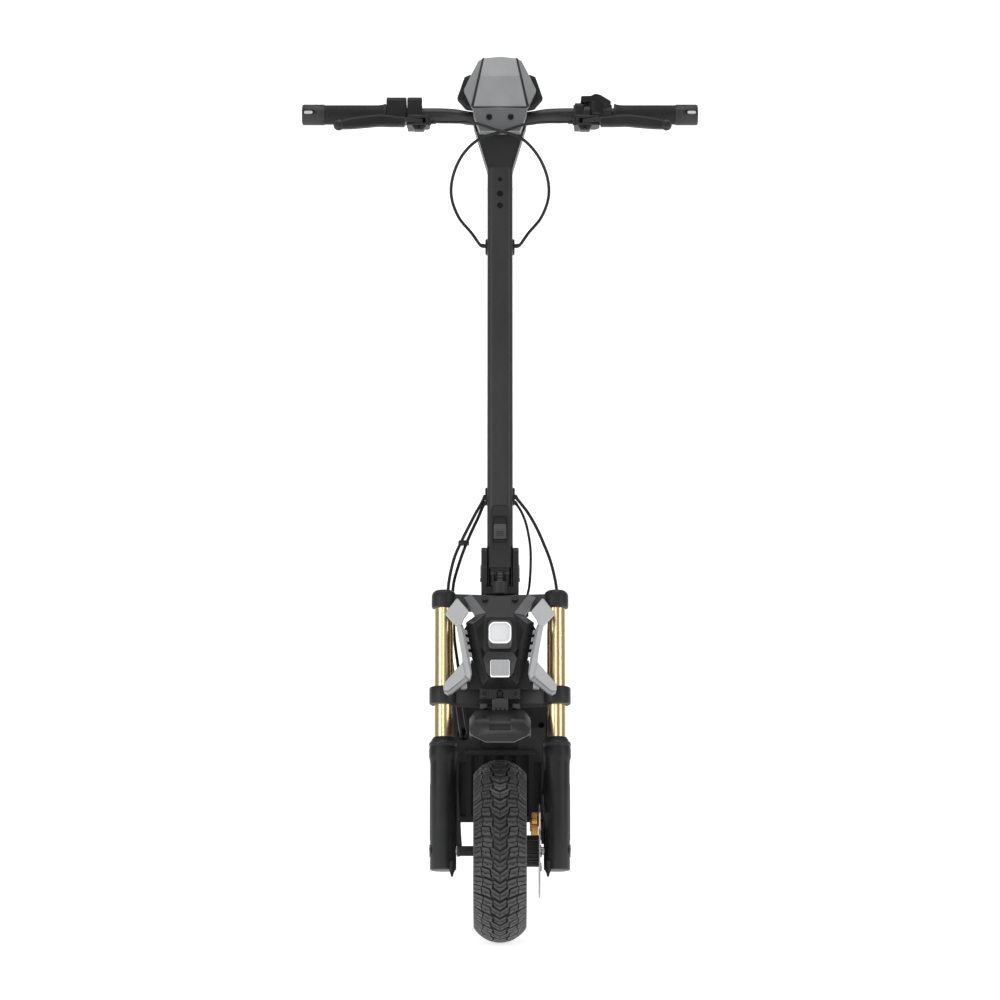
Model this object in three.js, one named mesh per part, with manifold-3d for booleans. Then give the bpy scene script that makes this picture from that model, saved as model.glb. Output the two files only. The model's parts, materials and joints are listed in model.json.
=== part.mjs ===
// Electric kick scooter with a double-crown fork and a folding stem.
// Millimetres, +Z up, the front faces -Y and +X is the rider's left.
// The origin is on the ground, midway between the two wheels.
import * as THREE from 'three';
import { mergeVertices } from 'three/addons/utils/BufferGeometryUtils.js';
import Module from 'manifold-3d';

const wasm = await Module();
wasm.setup();

// ---------------------------------------------------------------- driving dimensions
const WHEELBASE = 1030;
const TYRE_R = 135.5;
const TYRE_HALF_W = 39.5;
const RIM_R = 78;
const WHEEL_FACETS = 32;
const GAP = 0.3; // clearance between touching pieces

const FRONT_Y = -WHEELBASE / 2;
const REAR_Y = WHEELBASE / 2;

// The fork is built in its own axes: x across, t back, s up along the tubes, zero at the front axle.
const RAKE = THREE.MathUtils.degToRad(12);
const STEER_T = 30; // steering axis behind the fork tubes
const TUBE_X = 84.5;
const TUBE_R = 14;
const LEG_R = 19.7;
const LEG_TOP = 164;
const LEG_BOTTOM = -29;
const LOWER_CROWN = [219.6, 246];
const UPPER_CROWN = [366, 388];

const AXLE_R = 6;
const DISC_X = [57.8, 59.6];
const DISC_R = 70;

const CLEVIS_TOP = 462;
const FOLD_PIVOT = [49.2, 432.2]; // t, s
const STEM_HALF_W = 19.5;
const STEM_T = [7, 49.5];
const STEM_TUBE_S = [463, 1058];
const HEAD_TOP = 1158;

const BAR_R = 10.75;
const BAR_MID = [30, 1144.8]; // t, s of the bar at the stem
const BAR_END = [40, 1153.6]; // t, s of the bar at the grips
const BAR_BORE_R = 11.6;
const GRIP_X = [177, 272.2];
const CAP_X = [272.5, 307.5];

const DECK_Z = [166, 249];
const DECK_HALF_W = 105;
const DECK_WALL = 4;
// The deck and neck are laid out by distance behind the front axle.
const NECK_FRONT = 158.5;
const DECK_FRONT = 262.3;
const DECK_REAR = 765;
const SWING_PIVOT = [790, 190]; // distance behind the front axle, height
const PIN_R = 8;

// ---------------------------------------------------------------- materials
function paint(color, roughness, metalness) {
  return new THREE.MeshStandardMaterial({ color, roughness, metalness });
}

const BLACK = paint(0x2b2c2e, 0.55, 0.3);
const DARK_GREY = paint(0x47494c, 0.5, 0.3);
const SILVER = paint(0xb4b7ba, 0.35, 0.6);
const HOOD_GREY = paint(0x9b9ea1, 0.4, 0.5);
const GOLD = paint(0xdcc48e, 0.25, 0.9);
const COPPER = paint(0xc08a4a, 0.35, 0.8);
const STEEL = paint(0xb9bcbf, 0.3, 1);
const RUBBER = paint(0x262626, 0.85, 0);
const LENS = paint(0xe6e8ea, 0.2, 0);
const RED_LENS = paint(0xa31515, 0.3, 0);
const HOSE = paint(0x161616, 0.4, 0);

// ---------------------------------------------------------------- solids
function toSolid(geometry) {
  const bare = geometry.clone();
  bare.deleteAttribute('normal');
  bare.deleteAttribute('uv');
  const merged = mergeVertices(bare, 1e-4);
  const vertProperties = new Float32Array(merged.attributes.position.array);
  const triVerts = new Uint32Array(merged.index.array);
  return new wasm.Manifold(new wasm.Mesh({ numProp: 3, vertProperties, triVerts }));
}

function toGeometry(solid) {
  const mesh = solid.getMesh();
  const geometry = new THREE.BufferGeometry();
  geometry.setAttribute('position', new THREE.BufferAttribute(mesh.vertProperties, 3));
  geometry.setIndex(new THREE.BufferAttribute(mesh.triVerts, 1));
  return geometry;
}

function join(first, ...others) {
  return toGeometry(others.reduce((sum, other) => sum.add(toSolid(other)), toSolid(first)));
}

function cut(body, ...tools) {
  return toGeometry(tools.reduce((rest, tool) => rest.subtract(toSolid(tool)), toSolid(body)));
}

function common(first, second) {
  return toGeometry(toSolid(first).intersect(toSolid(second)));
}

function extrude(points, depth) {
  const shape = new THREE.Shape(points.map(([a, b]) => new THREE.Vector2(a, b)));
  return new THREE.ExtrudeGeometry(shape, { depth, bevelEnabled: false });
}

// An outline in (x, y) raised from z0 to z1.
function prismZ(points, z0, z1) {
  return extrude(points, z1 - z0).translate(0, 0, z0);
}

// An outline in (x, z) carried from y0 to y1.
function prismY(points, y0, y1) {
  return extrude(points, y1 - y0).rotateX(Math.PI / 2).translate(0, y1, 0);
}

// An outline in (y, z) carried from x0 to x1.
function prismX(points, x0, x1) {
  const turn = new THREE.Matrix4().set(0, 0, 1, 0, 1, 0, 0, 0, 0, 1, 0, 0, 0, 0, 0, 1);
  return extrude(points, x1 - x0).applyMatrix4(turn).translate(x0, 0, 0);
}

function box(x, y, z) {
  const size = [x, y, z].map(([low, high]) => high - low);
  const mid = [x, y, z].map(([low, high]) => (low + high) / 2);
  return new THREE.BoxGeometry(...size).translate(...mid);
}

function rodX(radius, x0, x1, y, z, sides = 14) {
  return new THREE.CylinderGeometry(radius, radius, x1 - x0, sides)
    .rotateZ(-Math.PI / 2)
    .translate((x0 + x1) / 2, y, z);
}

function rodZ(radius, z0, z1, x, y, sides = 18) {
  return new THREE.CylinderGeometry(radius, radius, z1 - z0, sides)
    .rotateX(Math.PI / 2)
    .translate(x, y, (z0 + z1) / 2);
}

// A profile of (radius, along), closed on itself or on the axis, turned with its faces outward.
function turn(profile, sides) {
  const points = profile.map(([radius, along]) => new THREE.Vector2(radius, along));
  if (THREE.ShapeUtils.area(points) < 0) points.reverse();
  return new THREE.LatheGeometry(points, sides);
}

// Turned about X, with a facet facing straight down.
function turnX(profile, sides = WHEEL_FACETS) {
  return turn(profile, sides).rotateZ(-Math.PI / 2).rotateX(Math.PI / sides);
}

function turnZ(profile, sides = 18) {
  return turn(profile, sides).rotateX(Math.PI / 2);
}

function arc(cx, cy, radius, fromDeg, toDeg, steps) {
  return Array.from({ length: steps + 1 }, (_, i) => {
    const angle = THREE.MathUtils.degToRad(fromDeg + ((toDeg - fromDeg) * i) / steps);
    return [cx + radius * Math.cos(angle), cy + radius * Math.sin(angle)];
  });
}

// The convex outline around a set of points, counter-clockwise.
function outline(points) {
  const sorted = [...points].sort((p, q) => p[0] - q[0] || p[1] - q[1]);
  const turnsLeft = (o, a, b) => (a[0] - o[0]) * (b[1] - o[1]) - (a[1] - o[1]) * (b[0] - o[0]) > 1e-6;
  const chain = (list) => {
    const kept = [];
    for (const point of list) {
      while (kept.length > 1 && !turnsLeft(kept.at(-2), kept.at(-1), point)) kept.pop();
      kept.push(point);
    }
    return kept.slice(0, -1);
  };
  return [...chain(sorted), ...chain(sorted.reverse())];
}

function around(cx, cy, radius, steps = 16) {
  return arc(cx, cy, radius, 0, 360, steps).slice(0, -1);
}

function flipX(points) {
  return points.map(([x, other]) => [-x, other]).reverse();
}

// A half outline given from the middle outward is completed by its mirror.
function bothHalves(half) {
  return [...half, ...flipX(half)];
}

function hose(points, radius, steps = 18) {
  const path = new THREE.CatmullRomCurve3(points.map((p) => new THREE.Vector3(...p)));
  const section = new THREE.Shape(around(0, 0, radius, 8).map((p) => new THREE.Vector2(...p)));
  return new THREE.ExtrudeGeometry(section, { steps, extrudePath: path });
}

// ---------------------------------------------------------------- placing
const scooter = new THREE.Group();
const forkFrame = new THREE.Group();
forkFrame.position.set(0, FRONT_Y, TYRE_R);
forkFrame.rotation.x = -RAKE;
const deckFrame = new THREE.Group();
deckFrame.position.set(0, FRONT_Y, 0);
const frontWheelFrame = new THREE.Group();
frontWheelFrame.position.set(0, FRONT_Y, TYRE_R);
const rearWheelFrame = new THREE.Group();
rearWheelFrame.position.set(0, REAR_Y, TYRE_R);
scooter.add(forkFrame, deckFrame, frontWheelFrame, rearWheelFrame);

function place(frame, name, geometry, material) {
  const mesh = new THREE.Mesh(geometry, material);
  mesh.name = name;
  frame.add(mesh);
}

// ---------------------------------------------------------------- wheels
function tyre() {
  const bottom = TYRE_R / Math.cos(Math.PI / WHEEL_FACETS);
  const half = [
    [bottom, 10],
    [127.5, 26],
    [115, 36.5],
    [99, TYRE_HALF_W],
    [RIM_R + 0.6, 28],
    [RIM_R + 0.6, 20],
    [101, 30],
    [121, 17],
  ];
  const mirrored = half.map(([radius, x]) => [radius, -x]).reverse();
  const profile = [...half, ...mirrored, half[0]];
  return turnX(profile);
}

function closedTurnX(outer, inner, x0, x1, sides = 28) {
  return turnX([[inner, x0], [outer, x0], [outer, x1], [inner, x1], [inner, x0]], sides);
}

function frontRim() {
  const barrel = closedTurnX(RIM_R, 70, -31, 31);
  const hub = closedTurnX(26, 17, -36, 36, 16);
  const boreTube = closedTurnX(17.5, AXLE_R + GAP, -36, 57.5, 16);
  const adapter = closedTurnX(23.7, 16, 35, 57.5, 16);
  const spokes = [];
  const spokeCount = 6;
  for (let i = 0; i < spokeCount; i += 1) {
    const spoke = box([-11, 11], [-8, 8], [22, 72]);
    spokes.push(spoke.rotateX((i * 2 * Math.PI) / spokeCount));
  }
  return join(barrel, hub, boreTube, adapter, ...spokes);
}

function rearHubMotor() {
  const bore = PIN_R - 0.7;
  return turnX([[bore, -42], [20, -42], [20, -36], [62, -35], [RIM_R, -31], [RIM_R, 31], [62, 35],
    [22, 36], [22, 42.2], [bore, 42.2], [bore, -42]], 28);
}

// ---------------------------------------------------------------- fork
function forkLeg(side) {
  const bore = TUBE_R + 0.5;
  const leg = turnZ([[0, LEG_BOTTOM], [LEG_R - 3, LEG_BOTTOM], [LEG_R, LEG_BOTTOM + 3],
    [LEG_R, LEG_TOP - 21], [21.5, LEG_TOP - 18], [21.5, LEG_TOP], [bore, LEG_TOP], [bore, 20], [0, 20]]);
  const axleHole = rodX(AXLE_R + GAP, -30, 30, 0, 0);
  return cut(leg, axleHole).translate(side * TUBE_X, 0, 0);
}

function stanchion(side) {
  return turnZ([[0, 60], [TUBE_R, 60], [TUBE_R, UPPER_CROWN[1] + GAP], [17.5, UPPER_CROWN[1] + GAP],
    [17.5, UPPER_CROWN[1] + 3.5], [15, UPPER_CROWN[1] + 5.5], [0, UPPER_CROWN[1] + 5.5]])
    .translate(side * TUBE_X, 0, 0);
}

function crown(levels, clampR, bossR) {
  const clamps = [...around(TUBE_X, 0, clampR), ...around(-TUBE_X, 0, clampR)];
  const plan = outline([...clamps, ...around(0, STEER_T, bossR)]);
  const plate = prismZ(plan, ...levels);
  const holes = [-TUBE_X, TUBE_X].map((x) => rodZ(TUBE_R + GAP, levels[0] - 1, levels[1] + 1, x, 0));
  return cut(plate, ...holes);
}

function lowerCrown() {
  const steerer = rodZ(16, LOWER_CROWN[0] + 5, UPPER_CROWN[1] - GAP, 0, STEER_T);
  return join(crown(LOWER_CROWN, 21.5, 25), steerer);
}

function upperCrown() {
  const bore = rodZ(16 + GAP, UPPER_CROWN[0] - 1, UPPER_CROWN[1] + 1, 0, STEER_T);
  return cut(crown(UPPER_CROWN, 18.5, 27), bore);
}

function frontAxle() {
  const end = 98;
  const spacer = [-63.5, -36.5];
  return turnX([[0, -end], [AXLE_R, -end], [AXLE_R, spacer[0]], [8, spacer[0]], [8, spacer[1]],
    [AXLE_R, spacer[1]], [AXLE_R, end], [0, end]], 20);
}

// The caliper straddles the disc behind the right leg, turned up from the axle's level.
function frontCaliper() {
  const body = box([45, 70], [-17, 17], [50, 82]);
  const discSlot = box([DISC_X[0] - 0.8, DISC_X[1] + 0.8], [-20, 20], [40, 73]);
  const bracket = box([66, 70], [10, 40], [50, 78]);
  const turned = join(cut(body, discSlot), bracket).rotateX(THREE.MathUtils.degToRad(-55));
  const foot = box([66, 70], [17, 62], [-8, 12]);
  return join(turned, foot);
}

function frontFender() {
  const outer = [[-66, 300], [-62, 316], [-38, 335], [-4, 344], [40, 344], [80, 330], [105, 300]];
  const inner = [[100, 299], [77, 325], [39, 339], [-3, 339], [-36, 330], [-58, 312.5], [-61, 299]];
  const shell = prismX([...outer, ...inner], -45.5, 45.5);
  const shoulder = [[31, 360], [31, 346], [45.5, 318], [60, 318], [60, 360]];
  return cut(shell, prismY(shoulder, -80, 120), prismY(flipX(shoulder), -80, 120));
}

// ---------------------------------------------------------------- head of the fork
const MASK_HALF = [[30, 221], [30, 235.4], [27.4, 243.5], [42.5, 283.4], [51, 335.6], [29, 380.5]];

function headlightMask() {
  const back = prismY(bothHalves(MASK_HALF), -46, -22);
  const front = prismY(bothHalves([[14, 250], [24, 262], [25, 330], [21, 372]]), -58, -45.5);
  const upperPocket = box([-17, 17], [-70, -54], [309.5, 341]);
  const lowerPocket = box([-14.8, 14.8], [-70, -54], [250.5, 286]);
  return cut(join(back, front), upperPocket, lowerPocket);
}

function lampLens(halfWidth, low, high) {
  return box([-halfWidth, halfWidth], [-60, -54 - GAP], [low, high]);
}

function blade(side) {
  const upper = [[62.8, 374.3], [47.6, 355.7], [54.4, 341.1], [63.7, 334.9], [81, 351.1]];
  const strut = [[63.7, 334.9], [54.4, 341.1], [51.5, 338], [43.5, 258.9], [52.2, 258.9]];
  const lower = [[54.4, 277.4], [43.5, 258.9], [44.6, 252.5], [72, 230], [77.9, 229.3], [83.3, 233.2],
    [83.3, 243.3]];
  const pieces = [upper, strut, lower].map((points) => prismY(side > 0 ? points : flipX(points), -50, -24));
  const clearOfMask = bothHalves(MASK_HALF).map(([x, s]) => [x * 1.012, s]);
  return cut(join(...pieces), prismY(clearOfMask, -60, -20));
}

// ---------------------------------------------------------------- folding joint and stem
function foldBase() {
  const [pivotT, pivotS] = FOLD_PIVOT;
  const bottom = UPPER_CROWN[1] + GAP;
  const roundRear = arc(pivotT, pivotS, 29.8, 0, 90, 6);
  const side = [[2, bottom], [66, bottom], [76, 420], ...roundRear, [10, CLEVIS_TOP], [2, 455]];
  const cheeks = prismX(side, -28.75, 28.75);
  const slot = box([-15.25, 15.25], [-2, 100], [404, 480]);
  const latchBoss = rodZ(12.5, bottom, 407, 0, 0);
  const pinHole = rodX(5 + GAP, -40, 40, pivotT, pivotS);
  return cut(join(cut(cheeks, slot), latchBoss), pinHole);
}

function stemTube() {
  const [front, rear] = STEM_T;
  const edge = 8;
  const section = bothHalves([[STEM_HALF_W - edge, front], [STEM_HALF_W, front + edge],
    [STEM_HALF_W, rear - edge], [STEM_HALF_W - edge, rear]]);
  const inner = section.map(([x, t]) => [x * 0.84, (t - 28) * 0.84 + 28]);
  const wall = cut(prismZ(section, ...STEM_TUBE_S), prismZ(inner, STEM_TUBE_S[0] + 45, STEM_TUBE_S[1] + 1));
  const [pivotT, pivotS] = FOLD_PIVOT;
  const roundFoot = arc(pivotT, pivotS, 18, -55, 0, 3);
  const foot = [[14, 408], [50, 408], ...roundFoot, [pivotT, 464], [front, 464], [front, 430]];
  const tongue = cut(prismX(foot, -14.9, 14.9), rodX(5 + GAP, -40, 40, pivotT, pivotS));
  const plate = cut(box([-15, 15], [4, front + 0.5], [430, 509.7]), box([-10.7, 10.7], [3, 6.7], [468, 508]));
  const ports = [];
  for (const [low, high] of [[531, 557], [925, 948.5]]) {
    for (const side of [-1, 1]) {
      const [x0, x1] = side > 0 ? [19, 22.5] : [-22.5, -19];
      ports.push(box([x0, x1], [17, 36], [low, high]));
    }
  }
  return join(wall, tongue, plate, ...ports);
}

function stemHead() {
  const half = [[STEM_HALF_W, STEM_TUBE_S[1] + GAP], [41.5, 1134], [41.5, 1141], [26, 1146], [26, HEAD_TOP]];
  const block = prismY(bothHalves(half), STEM_T[0], 54);
  const ahead = box([-60, 60], [0, 15.5], [1117, 1200]);
  return cut(block, ahead, rodX(BAR_R + 0.9, -60, 60, ...BAR_MID));
}

function handlebar() {
  const stops = [290, 240, 200, 160, 130, 108, 57, 35];
  const half = stops.map((x) => (x > 60 ? [x, ...BAR_END] : [x, ...BAR_MID]));
  const points = [...half.map(([x, t, s]) => [-x, t, s]), [0, ...BAR_MID], ...half.reverse()];
  const path = new THREE.CatmullRomCurve3(points.map((p) => new THREE.Vector3(...p)));
  const section = new THREE.Shape(around(0, 0, BAR_R, 10).map((p) => new THREE.Vector2(...p)));
  return new THREE.ExtrudeGeometry(section, { steps: 26, extrudePath: path });
}

function onBarEnd(geometry) {
  return geometry.translate(0, ...BAR_END);
}

function sleeve(side, [inner, outer], radius, sides = 20) {
  const [x0, x1] = side > 0 ? [inner, outer] : [-outer, -inner];
  return onBarEnd(closedTurnX(radius, BAR_BORE_R, x0, x1, sides));
}

function barEnd(side) {
  const [inner, outer] = CAP_X;
  const seat = 292;
  const profile = [[BAR_BORE_R, inner], [16.3, inner], [16.3, outer - 3], [13.5, outer], [0, outer], [0, seat],
    [BAR_BORE_R, seat], [BAR_BORE_R, inner]];
  const cap = turnX(profile, 20);
  return onBarEnd(side > 0 ? cap : cap.rotateZ(Math.PI));
}

// ---------------------------------------------------------------- controls on the bar
const LEVER_T = 6; // the lever's pin, in t
const leverPinX = (side) => (side > 0 ? 136 : 128);

function brakeClamp(side) {
  const shift = side > 0 ? 8 : 0;
  const ring = side > 0 ? [114, 140.5] : [121, 144];
  const perch = side > 0 ? [114, 154] : [108, 144];
  const mirror = (range) => (side > 0 ? range : [-range[1], -range[0]]);
  const body = box(mirror(perch), [-4, 23.6], [1124, 1139.5]);
  const neck = box(mirror(ring), [20, 34], [1124, 1147]);
  const sleeveRing = onBarEnd(rodX(16, ...mirror(ring), 0, 0, 20));
  const topBlock = box(mirror(side > 0 ? [114, 130.6] : [121, 144]), [26, 54], [1160, side > 0 ? 1169.8 : 1179]);
  const bore = onBarEnd(rodX(BAR_BORE_R, -400, 400, 0, 0));
  const slot = box(mirror([115 + shift, 160 + shift]), [-6, 18], [1127.5, 1135.5]);
  const pin = rodZ(3, 1126.5, 1136.5, side * leverPinX(side), LEVER_T, 12);
  return cut(join(cut(join(body, neck, sleeveRing, topBlock), slot), pin), bore);
}

function brakeLever(side) {
  const shift = leverPinX(side) - 128;
  const toSide = (points) => points.map(([x, other]) => [side * (x + shift), other]);
  const plan = toSide([[119, 0], [121, 12], [128, 15], [136, 14], [150, 5], [185, -4], [238, -13], [246, -14],
    [246, -27], [238, -26], [185, -17], [150, -9], [128, -3.5]]);
  const sideView = toSide([[149, 1135.5], [149, 1121.5], [185, 1119.5], [238, 1112], [246, 1112], [246, 1124.5],
    [238, 1128.5], [185, 1137]]);
  const blade = common(prismZ(plan, 1095, 1155), prismY(sideView, -40, 20));
  const root = toSide([[119, 0], [121, 12], [128, 15], [136, 14], [151, 4.5], [151, -9], [128, -3.5]]);
  const tongue = prismZ(root, 1127.8, 1135.2);
  const ballX = side * (248 + shift);
  const ball = new THREE.SphereGeometry(8.3, 10, 6).rotateX(Math.PI / 2).translate(ballX, -20.5, 1118);
  const pinHole = rodZ(3 + GAP, 1095, 1155, side * leverPinX(side), LEVER_T, 12);
  return cut(join(tongue, blade, ball), pinHole);
}

function throttleHousing() {
  const top = box([-175, -147], [27, 53], [1160, 1179]);
  const lug = box([-173.5, -170.3], [50, 62], [1144, 1158]);
  const ring = onBarEnd(rodX(16, -176.7, -144.5, 0, 0, 20));
  return cut(join(ring, top, lug), onBarEnd(rodX(BAR_BORE_R, -400, 400, 0, 0)));
}

function throttlePaddle() {
  return prismX([[57.5, 1147], [83.4, 1147.4], [86, 1149.4], [85.4, 1152.4], [63, 1157.6], [57.5, 1158]],
    -170, -150);
}

function switchHousing() {
  const profile = [[125, 1170.2], [141.2, 1170.2], [141.2, 1160], [172, 1160], [172, 1172], [156, 1182],
    [148, 1184], [141, 1180], [125, 1180]];
  const top = prismY(profile, 25, 56);
  const prow = prismZ([[141.3, 24.2], [141.3, 8], [157, 24.2]], 1148.5, 1166);
  const ring = onBarEnd(rodX(16, 141.2, 174, 0, 0, 20));
  const pocket = new THREE.CylinderGeometry(5.4, 5.4, 10, 16).translate(158, 56, 1170.5);
  return cut(join(ring, top, prow), pocket, onBarEnd(rodX(BAR_BORE_R, -400, 400, 0, 0)));
}

function hornButton() {
  return new THREE.CylinderGeometry(5, 5, 6, 16).translate(158, 56.6, 1170.5);
}

function displayBody() {
  const half = [[30, 1150], [53.2, 1154.8], [65.6, 1169], [66.3, 1172.5], [55, 1205.8], [47.6, 1209], [30, 1212]];
  const shield = prismY(bothHalves(half), 6.8, 18.7);
  const screen = prismY([[-50, 1163], [50, 1163], [46, 1207], [-46, 1207]], 18, 60);
  return cut(join(shield, screen), box([-27, 27], [15, 70], [1140, HEAD_TOP + 0.8]));
}

function displayHood() {
  const half = [[30.8, 1117], [43.6, 1158], [56, 1182], [33.5, 1228], [26, 1231.5]];
  return prismY(bothHalves(half), -16, 6.5);
}

// ---------------------------------------------------------------- hoses
function upperHose(side) {
  const depth = side > 0 ? -20 : -26;
  const start = side > 0 ? 112.8 : 106.8;
  const route = [[start, 10, 1133.5], [92, 4, 1131], [70, -8, 1127], [40, depth, 1120], [0, depth - 1, 1107],
    [-32, depth, 1096], [-57, -12, 1074], [-72, 6, 1046], [-75, 18, 1016], [-64, 26, 985], [-44, 28, 960],
    [-30, 27, 940], [-23.3, 27, 938.5]];
  return hose(route.map(([x, t, s]) => [side * x, t, s]), 2.4, 24);
}

const LOWER_ROUTES = {
  left_outer: [[-23.3, 21, 548], [-30, 21, 546], [-40, 22, 525], [-50, 24, 505], [-60, 28, 480], [-70, 33, 450],
    [-78, 38, 410], [-79, 42, 370], [-76, 44, 320], [-70, 52, 270], [-64, 74, 222], [-60, 98, 195]],
  left_inner: [[-23.6, 32, 541], [-31, 32, 539.5], [-36, 32, 520], [-45, 33, 500], [-54, 38, 472], [-64, 44, 445],
    [-71, 49, 410], [-71, 52, 370], [-68, 54, 320], [-60, 62, 265], [-54, 84, 220], [-50, 106, 195]],
  right_outer: [[23.3, 21, 548], [30, 21, 546], [42, 22, 524], [54, 24, 498], [66, 28, 472], [78, 32, 440],
    [86, 36, 400], [84, 42, 370], [80, 42, 310], [74, 38, 240], [70, 36, 160], [66, 44, 90]],
  right_inner: [[23.6, 32, 541], [31, 32, 539.5], [36, 31, 518], [42, 31, 495], [46, 33, 460], [45, 40, 425],
    [42, 62, 398], [40, 68, 372]],
};

// ---------------------------------------------------------------- neck and deck
function frameNeck() {
  const headTube = rodZ(24, 250, 362, 0, STEER_T);
  const forkToDeck = new THREE.Matrix4().makeRotationX(-RAKE).setPosition(0, 0, TYRE_R);
  headTube.applyMatrix4(forkToDeck);
  const bore = rodZ(17, 240, 372, 0, STEER_T).applyMatrix4(forkToDeck);
  const rear = DECK_FRONT - GAP;
  const beam = prismX([[97, 374.5], [124, 367], [141, 330], [153, 300], [NECK_FRONT, 279], [NECK_FRONT, 200],
    [rear, 200], [rear, 247], [228, 300], [150, 462], [118, 468]], -28, 28);
  const gussets = prismX([[NECK_FRONT, 220], [rear, 220], [rear, 247], [202, 352], [174, 352], [NECK_FRONT, 310]],
    -69, 69);
  const plan = [[-64, NECK_FRONT], [64, NECK_FRONT], [DECK_HALF_W, 200], [DECK_HALF_W, rear],
    [-DECK_HALF_W, rear], [-DECK_HALF_W, 200]];
  const noseBlock = prismZ(plan, ...DECK_Z);
  return cut(join(headTube, beam, gussets, noseBlock), bore);
}

function neckGrille() {
  const half = [[65.5, DECK_Z[0]], [65.5, 263], [53, 277]];
  const plate = prismY(bothHalves(half), 150.5, NECK_FRONT - GAP);
  const slots = [];
  const pitch = 18.8;
  for (let i = -3; i <= 3; i += 1) {
    const top = Math.abs(i) === 3 ? 258 : 268;
    slots.push(box([i * pitch - 6, i * pitch + 6], [140, 170], [175, top]));
  }
  return cut(plate, ...slots);
}

function deckShell() {
  const edge = 12;
  const [bottom, top] = DECK_Z;
  const half = [[DECK_HALF_W - edge, bottom], [DECK_HALF_W, bottom + edge], [DECK_HALF_W, top - 5],
    [DECK_HALF_W - 5, top]];
  const block = prismY(bothHalves(half), DECK_FRONT, DECK_REAR);
  const cavity = box([-92, 92], [DECK_FRONT + DECK_WALL, DECK_REAR - DECK_WALL], [100, top - DECK_WALL]);
  const kickPlate = prismX([[700, top - 1], [DECK_REAR - 1, top - 1], [810, 288], [806, 294], [785, 294],
    [708, 252]], -75, 75);
  const tail = box([-42, 42], [DECK_REAR - 2, 812], [170, top]);
  const pinBore = rodX(PIN_R + GAP, -60, 60, ...SWING_PIVOT);
  return cut(join(cut(block, cavity), kickPlate, tail), pinBore);
}

function deckBottomCover() {
  const plate = box([-91.7, 91.7], [DECK_FRONT + 4.4, DECK_REAR - 4.4], [DECK_Z[0], DECK_Z[0] + 4]);
  const bracket = box([66, 91], [408, 436], [148, DECK_Z[0] + 1]);
  const legSlot = box([73, 85], [400, 445], [140, DECK_Z[0] - 1]);
  const pin = rodX(3, 70, 88, 420, 156, 12);
  return join(cut(join(plate, bracket), legSlot), pin);
}

function kickstandLeg() {
  const side = outline([...around(420, 156, 7, 12), ...around(576, 156, 5, 10)]);
  return cut(prismX(side, 73.3, 84.7), rodX(3 + GAP, 60, 100, 420, 156, 12));
}

// ---------------------------------------------------------------- rear end
function swingarm() {
  const [pivotY, pivotZ] = SWING_PIVOT;
  const side = outline([...around(pivotY, pivotZ, 20, 12), ...around(WHEELBASE, TYRE_R, 18, 12)]);
  const arms = [prismX(side, 50, 62), prismX(side, -62, -50)];
  const sleeves = [rodX(16, 42.4, 51, pivotY, pivotZ, 10), rodX(16, -51, -42.4, pivotY, pivotZ, 10)];
  const crossMember = box([-51, 51], [828, 846], [164, 190]);
  const pinHole = rodX(PIN_R + GAP, -80, 80, pivotY, pivotZ);
  const axleHole = rodX(PIN_R - 1 + GAP, -80, 80, WHEELBASE, TYRE_R);
  return cut(join(crossMember, ...arms, ...sleeves), pinHole, axleHole);
}

function rearAxle() {
  const radius = PIN_R - 1;
  const profile = [[0, -72], [11, -72], [11, -62.3], [radius, -62.3], [radius, 62.3], [11, 62.3],
    [11, 72], [0, 72]];
  return turnX(profile, 20).translate(0, WHEELBASE, TYRE_R);
}

function rearCaliper() {
  const body = box([37.6, 49.7], [-17, 17], [44, 72]);
  const slot = box([42.7, 45.3], [-20, 20], [40, 61.5]);
  return cut(body, slot).rotateX(THREE.MathUtils.degToRad(62)).translate(0, WHEELBASE, TYRE_R);
}

function rearFender() {
  const outer = arc(WHEELBASE, TYRE_R, 152, 42, 160, 14);
  const inner = arc(WHEELBASE, TYRE_R, 147.5, 160, 42, 14);
  const shell = prismX([...outer, ...inner], -43, 43);
  const tongue = box([-30, 30], [846.3, 893], [180, 188]);
  const clear = prismX(arc(WHEELBASE, TYRE_R, 147.5, 150, 178, 5).concat([[WHEELBASE, TYRE_R]]), -50, 50);
  return cut(join(shell, tongue), clear);
}

function tailLight() {
  const outer = arc(WHEELBASE, TYRE_R, 160, 50, 60, 3);
  const inner = arc(WHEELBASE, TYRE_R, 152.6, 60, 50, 3);
  return prismX([...outer, ...inner], -25, 25);
}

// ---------------------------------------------------------------- assembly
function addWheels() {
  place(frontWheelFrame, 'front_tyre', tyre(), RUBBER);
  place(frontWheelFrame, 'front_rim', frontRim(), BLACK);
  place(frontWheelFrame, 'front_disc', closedTurnX(DISC_R, 24, ...DISC_X, 40), STEEL);
  place(rearWheelFrame, 'rear_tyre', tyre(), RUBBER);
  place(rearWheelFrame, 'rear_hub_motor', rearHubMotor(), BLACK);
  place(rearWheelFrame, 'rear_disc', closedTurnX(60, 22.5, 43, 45, 36), STEEL);
}

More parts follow.
